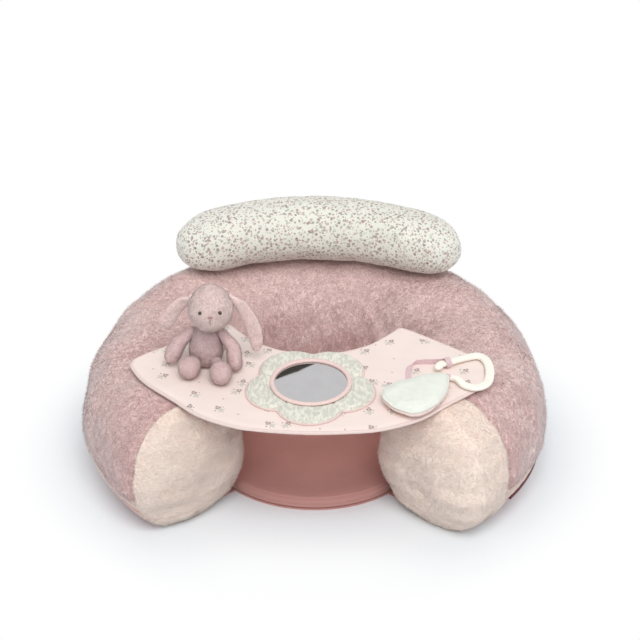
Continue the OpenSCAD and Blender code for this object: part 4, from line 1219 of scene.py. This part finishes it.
class FLOORSEAT_OT_leaf(bpy.types.Operator):
    """Makes the leaf toy with the link and ribbon that tie it to the tray"""

    bl_idname = "floorseat.leaf"
    bl_label = "Leaf, link and ribbon"

    def execute(self, context):
        colours = settings().colours
        middle = np.array([0.143, -0.048])
        low, cols = 16, 120
        e = np.concatenate([np.linspace(-84, -5, low), [0], np.linspace(5, 84, 22)])
        e, row = np.radians(e)[:, None], np.arange(len(e))
        line = smooth(LEAF_LINE, cols, closed=True)
        share = np.cos(e) ** np.where(e > 0, 0.7, 0.5)
        flat = middle + share[..., None] * (line[None] - middle)
        z = 0.0115 + np.where(e > 0, 0.0155, 0.0105) * bend(np.sin(e), 0.85)
        grid = np.concatenate([flat, (z + 0 * line[None, :, 0])[..., None]], -1)
        form = Form(grid, True, ([*middle, 0.001], [*middle, 0.0270]))
        seam = np.arange(low * cols, (low + 1) * cols)
        form = blown_up(form, seam, 3.5, 0.035, 0.0025, 20)
        form.points[:, 2] = np.maximum(form.points[:, 2], 0.0005)
        form.pushed(0.0004 * ripple(form.points, 0.02, 14))
        part = np.append(np.repeat(step(row, low - 1, low + 1), cols), [0, 1])
        groove = np.append(np.repeat(bell(row - low, 0.7), cols), [0, 0])
        form.points[:, :2] -= unit(form.points[:, :2] - middle) * groove[:, None] * 0.0012
        form.placed(on_face)
        mesh = write_mesh("leaf_pillow", form.points, form.quads, form.tris)
        keep_numbers(mesh, "upper", part)
        keep_numbers(mesh, "seam", groove)
        paint = Paint("Leaf jersey", 0.85, Sheen_Weight=0.3, Specular_IOR_Level=0.2)
        colour = paint.mix(paint.number("upper"), toned(colours.rim, 0.98), colours.leaf)
        wander = paint.noise(0.012).within(0.25, 0.8)
        colour = paint.mix(wander * 0.35, colour, toned(colours.leaf, 0.82))
        # painted shade: darker along the seam's groove round the leaf's edge
        colour = paint.mix(paint.number("seam") * 0.45, colour, toned(colours.cream_deep, 0.7))
        normal = paint.woven(0.0008, 0.0002, 0.4, 0.01, 3, 0.0015, 0.45)
        paint = paint.finish(Base_Color=colour, Normal=normal)
        piece("leaf_pillow", mesh, paint, "leaf", "mint_cloth", ["leaf_toy"], levels=1)

        rows = np.array([[0.1792, -0.001, 0.0065, 0.0052, 0.0052]]).repeat(2, 0)
        rows[1, 0] = 0.1858
        tab = tube(rows, 6, [0, 1, 0], 28, 1, 3).placed(on_face)
        piece("leaf_loop", tab, self.satin(), "leaf", "ribbon", ["leaf_tab"])

        link = tube(LINK_ROWS * [1, 1, 1, 0.85, 1.1], 190, [0, 0, 1], 28, 0.55, 6).placed(on_face)
        plastic = moulded(
            "Link plastic", colours.plastic, 0.96, 0.32, 0.01, 0.002, 0.0001, 0.3,
            Specular_IOR_Level=0.5, Coat_Weight=0.15,
        )
        piece("link", link, plastic, "link", "cream_plastic", ["toy_link"])

        path = smooth(RIBBON_ROWS * [0.001, 0.001, 0.001, 1, 1, 1], 60)
        strip = self.band(path[:, :3], path[:, 3:])
        a = np.linspace(0, 2 * np.pi, 49)[:, None]  # its first point again at the end
        axis = np.array([math.cos(LOOP_TURN), math.sin(LOOP_TURN), 0])
        across = np.array([-axis[1], axis[0], 0])
        path = LOOP_MIDDLE + LOOP_RADIUS * (np.sin(a) * [0, 0, 1] + np.cos(a) * across)
        form = (strip + self.band(path, axis)).placed(on_face)
        piece("ribbon", form, self.satin(), "tray", "ribbon", ["ribbon_loop"])
        return {"FINISHED"}

    def band(self, path, side):
        """A flat band along a path, 8 mm wide and 0.9 mm thick."""
        size = np.full((len(path), 2), [0.004, 0.00044])
        return tube(np.concatenate([path, size], 1), len(path), side, 16, 0.45, 2)

    def satin(self):
        """Satin ribbon with fine ribs across its run."""
        paint = Paint("Ribbon", 0.38, Sheen_Weight=0.3, Specular_IOR_Level=0.5)
        share = paint.noise(0.003).within(0.2, 0.8)
        normal = paint.bump(weave(paint, 0.0006), 0.0002, 0.5)
        return paint.coloured(share, settings().colours.ribbon, 0.88, Normal=normal)


# ------------------------------------------------------------------ bolster


class FLOORSEAT_OT_bolster(bpy.types.Operator):
    """Stuffs the printed bolster on the back's crown"""

    bl_idname = "floorseat.bolster"
    bl_label = "Bolster"

    def execute(self, context):
        b = settings().bolster
        straight, end, power = b.half_length - b.end, b.end - 0.001, 2 / 2.3
        e = np.radians(np.linspace(86, 4, 18))
        cap, along = np.sin(e) ** power * end, np.linspace(-straight, straight, 60)
        x = np.concatenate([-straight - cap, along, straight + cap[::-1]])
        k = np.concatenate([np.cos(e) ** power, np.ones(60), np.cos(e[::-1]) ** power])[:, None]

        def middle(x):
            """The bolster's centre line."""
            drop = b.droop * (x / (0.86 * b.half_length)) ** 2
            back = b.bend_radius - np.sqrt(b.bend_radius**2 - x**2)
            return np.stack([x, b.middle_y - back, b.middle_z - drop], -1)

        cols = 72
        th = circle(cols)[None]
        across = np.stack([x / b.bend_radius, np.sqrt(1 - (x / b.bend_radius) ** 2), 0 * x], -1)
        wide = (b.half_depth - 0.001) * k * bend(np.cos(th), 0.92)
        tall = np.where(np.sin(th) > 0, b.upper - 0.001, b.lower - 0.0006)
        tall = tall * k * bend(np.sin(th), 0.92)
        grid = middle(x)[:, None] + across[:, None] * wide[..., None] + tall[..., None] * [0, 0, 1]
        tips = middle(np.array([-straight - end, straight + end]))
        form = Form(grid, True, (tips[0], tips[1]))
        n = len(form.points)
        form = blown_up(form, [*range(cols), *range(n - cols - 2, n)], 2.2, 0.03, 0.0026)
        lumps = 0.0010 * ripple(form.points, 0.06, 15) + 0.0005 * ripple(form.points, 0.022, 16)
        form.pushed(lumps)
        paint, nodes = self.cotton(), ["bolster_cover", "bolster_filling"]
        piece("bolster", form, paint, "bolster", "bolster_print", nodes, levels=1)
        return {"FINISHED"}

    def cotton(self):
        """Cotton jersey with dense small flecks in four colours."""
        colours = settings().colours
        paint = Paint("Bolster cotton", 0.85, Sheen_Weight=0.25, Specular_IOR_Level=0.2)
        wander = paint.noise(0.05).within(0.2, 0.8)
        colour = paint.mix(wander, toned(colours.bolster, 0.95), colours.bolster)
        stops = [
            (0.0, colours.plum), (0.3, toned(colours.mauve_deep, 0.75)), (0.6, (0.22, 0.19, 0.18)),
            (0.8, colours.sage),
        ]
        flecks = ((0.0064, 0.36, 0.0, 0.3), (0.0046, 0.36, 0.7, 0.35), (0.0032, 0.34, 0.3, 0.45))
        for size, spot, seed, low in flecks:
            at = paint.vector("ADD", paint.place(), (seed, seed, seed))
            near = paint.cells(size, "Distance", at=at)
            kind = paint.split(paint.cells(size, "Color", at=at))
            hue = paint.node("ShaderNodeValToRGB", {"stops": stops}, {0: kind[0]})
            hue.socket.node.color_ramp.interpolation = "CONSTANT"
            shown = near.within(spot * 1.12, spot * 0.88) * kind[1].within(low - 0.02, low + 0.02)
            colour = paint.mix(shown * 0.62, colour, hue)
        normal = paint.woven(0.0008, 0.0002, 0.35, 0.02, 3, 0.002, 0.4)
        return paint.finish(Base_Color=colour, Normal=normal)


# -------------------------------------------------------------------- bunny


BUNNY_GAP = 0.0006  # from its solid's face in to its cloth, and from the tray up to it
HEAD_MIDDLE = np.array([0.009, -0.010, 0.091])
# Each limb from its seam out: place and two half widths, in millimetres.
LIMBS = {
    "ear_left": [
        [-16.6, -3.4, 104.5, 4.2, 4.2], [-20.6, -2.4, 99, 6.6, 4.4], [-31, -0.1, 92.5, 9, 3.6],
        [-44.8, 3.4, 76, 10.6, 3.5], [-53.6, 6.2, 58.5, 9.9, 3.4], [-56.8, 7.4, 49.8, 5.6, 2.6],
    ],
    "ear_right": [
        [35.6, -3.4, 104.5, 4.2, 4.2], [39.6, -2.6, 99, 6.6, 4.4], [51, -1.4, 87, 9, 3.6],
        [63.6, 0.4, 62, 10.6, 3.5], [68.8, 1.4, 36, 9.9, 3.4], [69.4, 1.8, 21.5, 5.6, 2.6],
    ],
    "arm_left": [
        [-19, 0.8, 48.8, 7.2, 7.2], [-26.5, -1.6, 42, 8.2, 8.2], [-36.4, -5, 32.5, 10.2, 10.2],
        [-43.6, -9.4, 20.5, 11.6, 11.6], [-46, -11, 16.4, 11, 11],
    ],
    "arm_right": [
        [20.6, 0.6, 48.8, 7.2, 7.2], [28.6, -3.4, 39.4, 8.2, 8.2], [38, -9, 29, 10.2, 10.2],
        [40.8, -20, 15, 10.9, 10.9], [41.5, -23, 12.6, 10.4, 10.4],
    ],
    "leg_left": [
        [-13, -10, 11, 8.6, 8.6], [-15.5, -20, 11.2, 9.3, 9.3], [-17.2, -27, 11.8, 12.8, 12.8],
        [-19, -33, 12.4, 15.2, 15.2], [-20.6, -40, 13, 14.8, 14.8],
    ],
    "leg_right": [
        [13, -12, 11, 8.6, 8.6], [17, -26, 11.2, 9.3, 9.3], [20.6, -37, 11.6, 12.8, 12.8],
        [23, -46, 11.8, 15.2, 15.2], [24.6, -52, 12, 14.8, 14.8],
    ],
}


def tray_face(y):
    """Height of the tray's face in the seat's frame."""
    t = settings().tray
    slope = math.radians(t.tilt)
    return t.height + t.thickness / 2 / math.cos(slope) + (y + t.origin) * math.tan(slope)


def on_bunny(points):
    """Points of the bunny's own frame in the seat's: its foot is on the tray's face."""
    b = settings().bunny
    return points + [b.place_x, b.place_y, tray_face(b.place_y)]


def muzzle(level):
    """How much rounder the head is at an angle above its middle."""
    return 1 + 0.06 * np.cos(2 * (level + math.radians(20))) * np.cos(level)


class FLOORSEAT_OT_bunny(bpy.types.Operator):
    """Makes the plush bunny that sits on the tray"""

    bl_idname = "floorseat.bunny"
    bl_label = "Bunny"

    def execute(self, context):
        b, colours = settings().bunny, settings().colours
        low, pale = colours.bunny_deep, colours.bunny_pale
        # The body's plush is a darker copy of the limbs', a painted shade, and the ears' a lighter
        # copy of the face's, painted light
        limb, face, ear, shaded_body = (
            plush(f"{name} plush", toned(tips, light), toned(low, deep), 0.3, 0.0019)
            for name, tips, light, deep in (
                ("Bunny", colours.bunny, 1, 1), ("Pale bunny", pale, 1, 1),
                ("Ear", pale, 1.08, 1.3), ("Bunny body", colours.bunny, 0.88, 0.82),
            )
        )

        rows = [
            [5, 0.4], [11, 0.4], [18, 3], [22, 10], [24, 19], [23, 30], [19, 44], [14, 56],
            [9, 66], [4, 66.5],
        ]
        profile = smooth(np.array(rows) / 1000, 44) - [BUNNY_GAP, 0]
        turn = circle(60)[None]
        seam = 0.0006 * bell((turn + np.pi / 2 + np.pi) % (2 * np.pi) - np.pi, 0.06)
        r = profile[:, :1] - seam
        grid = np.stack([r * np.cos(turn), r * np.sin(turn), profile[:, 1:] + 0 * turn], -1)
        body = Form(grid, True, ([0, 0, 0.0004], [0, 0, 0.0665]))
        self.toy("bunny_torso", body, "bunny", shaded_body, "bunny_plush", ["bunny_body"], 21)

        radii = np.array([b.head_half, b.head_half, b.head_up]) - BUNNY_GAP
        head = ball(HEAD_MIDDLE, radii, lambda to: muzzle(np.arcsin(np.clip(to[..., 2], -1, 1))))
        self.toy("bunny_face", head, "bunny", face, "bunny_pale_plush", ["bunny_head"], 22)

        kinds = {
            "ear": ([1, 0, 0], ear, "bunny_pale_plush"), "arm": ([0, 1, 0.2], limb, "bunny_plush"),
            "leg": ([1, 0, 0], limb, "bunny_plush"),
        }
        for seed, (name, rows) in enumerate(LIMBS.items()):
            side, paint, slot = kinds[name[:3]]
            rows = np.array(rows) / 1000 - [0, 0, 0, BUNNY_GAP, BUNNY_GAP]
            form = tube(rows, 40, side, 40, 0.95, 9)
            self.toy(f"bunny_{name}", form, name, paint, slot, [name], 23 + seed)

        self.face()
        return {"FINISHED"}

    def toy(self, name, form, body, paint, slot, nodes, seed):
        """A stuffed part of the bunny, with its pile."""
        pile = settings().pile
        form.placed(on_bunny)
        form.pushed(0.0004 * ripple(form.points, 0.014, seed))
        face = tray_face(form.points[:, 1])
        form.points[:, 2] = np.maximum(form.points[:, 2], face + BUNNY_GAP)
        a, b, c = (form.points[t] for t in form.triangles().T)
        area = np.linalg.norm(np.cross(b - a, c - a), axis=1).sum() / 2
        blades = int(area * pile.toy_blades), pile.toy_length, pile.toy_width
        mesh = piled(name, form, *blades, seed * 7, 55)
        piece(name, mesh, paint, body, slot, nodes)

    def skin(self, x, up, out):
        """A point in front of the face, at a place across and up from its middle."""
        b = settings().bunny
        level = math.asin(up / b.head_up)
        r = b.head_half * math.cos(level) * muzzle(level)
        return HEAD_MIDDLE + [x, -math.sqrt(r * r - x * x) - out, up]

    def face(self):
        """Two beads for eyes, a stitched nose and a stitch for the mouth."""
        colours = settings().colours
        bead = Paint("Eye bead", 0.12, Coat_Weight=0.4)
        bead = bead.coloured(bead.noise(0.002).within(0.3, 0.8), colours.thread, 0.6)
        left, right = (
            ball(self.skin(x, 0.0055, -0.0002), [0.0026, 0.0018, 0.0026], rings=12, sides=24)
            for x in (-0.0117, 0.0148)
        )
        eyes = (left + right).placed(on_bunny)
        piece("bunny_eye_beads", eyes, bead, "bunny", "eye", ["bunny_eyes"])

        thread = Paint("Nose thread", 0.6, Sheen_Weight=0.2)
        across = thread.split(thread.place())[0]
        # the thread darkens in the grooves between its strands: painted shade
        lines = (across * (2 * math.pi / 0.0007)).sine().within(-1, 1)
        thread = thread.finish(
            Base_Color=thread.mix(lines, toned(colours.mauve_deep, 0.55), (0.50, 0.25, 0.25)),
            Normal=thread.bump(lines, 0.0003, 0.6),
        )
        x, size = 0.0018, [0.0036, 0.0016, 0.0019]
        nose = ball(self.skin(x, 0.0004, -0.0002), size, rings=12, sides=24)
        run = (-0.0026, -0.005, -0.0075, -0.01)
        rows = np.array([[*self.skin(x, up, 0.0004), 0.0005, 0.0005] for up in run])
        stitches = (nose + tube(rows, 12, [1, 0, 0], 8, 1, 3)).placed(on_bunny)
        piece("bunny_stitches", stitches, thread, "bunny", "nose", ["bunny_nose"])


# ------------------------------------------------------- finishes and stage


class FLOORSEAT_OT_finishes(bpy.types.Operator):
    """Gives the frame's own parts their finishes"""

    bl_idname = "floorseat.finishes"
    bl_label = "Finishes"

    def execute(self, context):
        colours = settings().colours
        finishes = {
            "air_chamber": self.grained("Air film", (0.75, 0.75, 0.76), 0.25, 0.02),
            "valve_body valve_cap": self.grained("Valve plastic", (0.8, 0.8, 0.8), 0.4, 0.004),
            "base_panel": cloth("Base cloth", colours.rose, toned(colours.rose, 0.8), 0.01, 0.9),
            "zip_tape": cloth("Zip tape", (0.20, 0.045, 0.05), (0.13, 0.03, 0.035), 0.004, 0.8),
            "zip_coil": self.coil(),
            "zip_slider slider_pin zip_pull": self.metal(),
            "seat_patches tray_patches": self.hooks(),
            "tray_board": self.grained("Tray board", (0.6, 0.55, 0.5), 0.6, 0.003),
            "mirror_plate": self.mirror(),
        }
        for names, paint in finishes.items():
            for name in names.split():
                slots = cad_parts[name].data.materials
                slots.clear()
                slots.append(paint)
        return {"FINISHED"}

    def grained(self, name, colour, rough, size):
        """A plastic with a fine grain."""
        bumps = size / 4, 0.0001, 0.4
        return moulded(name, colour, 0.92, rough, size, *bumps, Specular_IOR_Level=0.5)

    def metal(self):
        """Pale brushed metal."""
        paint = Paint("Zip metal", 0.3, Metallic=1.0)
        share = paint.noise(0.001).within(0.3, 0.7)
        colour = paint.mix(share, (0.5, 0.5, 0.5), (0.72, 0.71, 0.7))
        return paint.finish(Base_Color=colour, Roughness=share * 0.2 + 0.22)

    def coil(self):
        """The zip's coil: teeth across it all the way round, dark between the teeth as painted
        shade.
        """
        paint = Paint("Zip coil", 0.45, Specular_IOR_Level=0.5)
        x, y = paint.split(paint.place())[:2]
        radius, pitch = 0.323, 0.0016
        teeth = (x.by("ARCTAN2", y) * (2 * math.pi * radius / pitch)).sine()
        tooth = teeth.within(-0.6, 0.6)
        colour = paint.mix(tooth, (0.07, 0.012, 0.016), (0.30, 0.07, 0.08))
        return paint.finish(Base_Color=colour, Normal=paint.bump(tooth, 0.0008, 0.8))

    def hooks(self):
        """Hook tape: rows of tiny hooks, darker between them as painted shade."""
        paint = Paint("Hook tape", 0.7, Specular_IOR_Level=0.3)
        rows = paint.cells(0.0014, "Distance", scatter=0.3).within(0.6, 0.1)
        colour = paint.mix(rows, (0.55, 0.52, 0.5), (0.82, 0.79, 0.77))
        return paint.finish(Base_Color=colour, Normal=paint.bump(rows, 0.0008, 0.8))

    def mirror(self):
        """A plastic mirror: a metal with a faint wave and a few fine smudges."""
        paint = Paint("Mirror", 0.04, Metallic=1.0)
        smudge = paint.noise(0.03, 4).within(0.35, 0.75)
        normal = paint.bump(paint.noise(0.05, 1), 0.0002, 0.2)
        colour = paint.mix(smudge, (0.53, 0.52, 0.53), (0.56, 0.55, 0.56))
        return paint.finish(Base_Color=colour, Roughness=smudge * 0.02 + 0.015, Normal=normal)


class FLOORSEAT_OT_stage(bpy.types.Operator):
    """Sets the camera, the light and the white floor"""

    bl_idname = "floorseat.stage"
    bl_label = "Stage"

    def execute(self, context):
        s, scene = settings().stage, context.scene
        target = np.array([0, s.target_y, s.target_z])
        up, side = math.radians(s.elevation), math.radians(s.azimuth)
        to = np.array([math.sin(side) * math.cos(up), -math.cos(side) * math.cos(up), math.sin(up)])
        lens = bpy.data.cameras.new("Camera")
        lens.lens, lens.shift_x, lens.shift_y = s.lens, s.shift_x, s.shift_y
        camera = bpy.data.objects.new("Camera", lens)
        camera.location = target + to * s.distance
        camera.rotation_euler = (math.pi / 2 - up, 0, side)
        scene.collection.objects.link(camera)
        scene.camera = camera

        lamp = bpy.data.lights.new("Key", "SUN")
        lamp.energy, lamp.angle = s.lamp, math.radians(s.lamp_spread)
        key = bpy.data.objects.new("Key", lamp)
        key.rotation_euler = (math.radians(s.lamp_tilt), 0, math.radians(s.lamp_turn))
        scene.collection.objects.link(key)

        scene.world = self.sky(s.sky)
        scene.view_settings.view_transform = "Standard"

        half, low = 8.0, -0.0002
        signs = ((-1, -1), (1, -1), (1, 1), (-1, 1))
        corners = np.array([[x * half, y * half, low] for x, y in signs])
        self.stand("floor", corners, [[0, 1, 2, 3]], [], self.paper())
        self.card()
        return {"FINISHED"}

    def stand(self, name, points, quads, tris, material):
        """An object of the stage."""
        faces = (np.array(kind, int).reshape(-1, n) for kind, n in ((quads, 4), (tris, 3)))
        new = bpy.data.objects.new(name, write_mesh(name, points, *faces))
        new.data.materials.append(material)
        bpy.context.scene.collection.objects.link(new)
        return new

    def sky(self, strength):
        """A world of even light, which the camera and reflections see as white."""
        world = bpy.data.worlds.new("Sky")
        world.use_nodes = True
        tree = world.node_tree
        light, out = tree.nodes["Background"], tree.nodes["World Output"]
        kinds = ("Background", "LightPath", "Math", "MixShader")
        white, rays, seen, either = (tree.nodes.new(f"ShaderNode{kind}") for kind in kinds)
        light.inputs["Color"].default_value = white.inputs["Color"].default_value = (1, 1, 1, 1)
        light.inputs["Strength"].default_value = strength
        seen.operation = "MAXIMUM"
        for a, socket, b, place in (
            (rays, "Is Camera Ray", seen, 0), (rays, "Is Glossy Ray", seen, 1),
            (seen, 0, either, 0), (light, 0, either, 1), (white, 0, either, 2), (either, 0, out, 0),
        ):
            tree.links.new(a.outputs[socket], b.inputs[place])
        return world

    def paper(self):
        """The floor: near the seat its pale blue-grey colour shows the shadow and darkens and cools
        it, a painted shadow. It turns white to the camera away from the seat, and before its open
        front, where the white is painted light over the shadow."""
        paint = Paint("Floor", 0.9, Specular_IOR_Level=0.0)
        # painted shadow: a blue-grey below white, which darkens and cools the floor near the seat
        material = paint.finish(Base_Color=(0.84, 0.89, 0.925))
        near = paint.length(paint.vector("SUBTRACT", paint.place(), (0, 0.05, 0)))
        x, y = paint.split(paint.place())[:2]
        # painted light: before the open front the floor glows white to the camera over most of its
        # shadow
        before = (x * x).within(0.06, 0.0) * y.within(-0.15, -0.31)
        shown = near.within(0.45, 0.33) * (1 - before * 0.9)
        white = (1 - shown) * paint.node("ShaderNodeLightPath", {}, {}, "Is Camera Ray")
        light = paint.node("ShaderNodeEmission", {}, {"Color": (1, 1, 1, 1), "Strength": 1.0})
        shader = Wire(paint, paint.shader.outputs[0])
        both = paint.node("ShaderNodeMixShader", {}, {0: white, 1: shader, 2: light})
        paint.tree.links.new(both.socket, paint.tree.nodes["Material Output"].inputs[0])
        return material

    def card(self):
        """A dark card over the back, which only reflections see: its upper edge crosses
        the far left of the mirror. It stands square to the reflected view."""
        s, t = settings().stage, settings().tray
        angle = math.radians(s.elevation + 2 * t.tilt)
        way = np.array([0, math.cos(angle), math.sin(angle)])
        side, high = np.array([1.0, 0, 0]), np.array([0, -way[2], way[1]])
        distance = 0.9
        middle = on_flower(np.array([[0, 0, t.backing + t.padding]]))[0] + distance * way
        edges = np.array([[-0.11, -0.007], [-0.11, -0.07], [0.025, -0.07], [0.025, -0.062]])
        points = middle + edges[:, :1] * side + edges[:, 1:] * high
        paint = Paint("Card", 0.9, Specular_IOR_Level=0.0)
        paint = paint.finish(Base_Color=(0.12, 0.105, 0.085))
        card = self.stand("card", points, [], [[0, 1, 2], [0, 2, 3]], paint)
        card.visible_camera = card.visible_diffuse = card.visible_shadow = False


class FLOORSEAT_PT_panel(bpy.types.Panel):
    """The seat's settings and steps"""

    bl_idname = "FLOORSEAT_PT_panel"
    bl_label = "Floor seat"
    bl_space_type = "VIEW_3D"
    bl_region_type = "UI"
    bl_category = "Floor seat"

    def draw(self, context):
        for name in FloorSeat.__annotations__:
            group = getattr(context.scene.floor_seat, name)
            box = self.layout.box()
            box.label(text=name.capitalize())
            for key in group.__annotations__:
                box.prop(group, key)
        for each in STEPS:
            self.layout.operator(each.bl_idname)


GROUPS = (
    CushionShape, TrayShape, BolsterShape, BunnyShape, PileSettings, ClothColours, StageSettings,
    FloorSeat,
)
STEPS = (
    FLOORSEAT_OT_stage, FLOORSEAT_OT_back, FLOORSEAT_OT_ends, FLOORSEAT_OT_hollow,
    FLOORSEAT_OT_bands, FLOORSEAT_OT_tray, FLOORSEAT_OT_flower, FLOORSEAT_OT_leaf,
    FLOORSEAT_OT_bolster, FLOORSEAT_OT_bunny, FLOORSEAT_OT_finishes,
)


def register():
    """Adds the settings, the steps and the panel to Blender."""
    for each in (*GROUPS, *STEPS, FLOORSEAT_PT_panel):
        bpy.utils.register_class(each)
    bpy.types.Scene.floor_seat = PointerProperty(type=FloorSeat)


def unregister():
    """Takes them out again."""
    del bpy.types.Scene.floor_seat
    for each in reversed((*GROUPS, *STEPS, FLOORSEAT_PT_panel)):
        bpy.utils.unregister_class(each)


def main():
    """Makes the whole seat."""
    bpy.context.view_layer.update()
    register()
    for each in STEPS:
        group, name = each.bl_idname.split(".")
        getattr(getattr(bpy.ops, group), name)()
    bpy.context.view_layer.update()


if __name__ == "__main__":
    main()
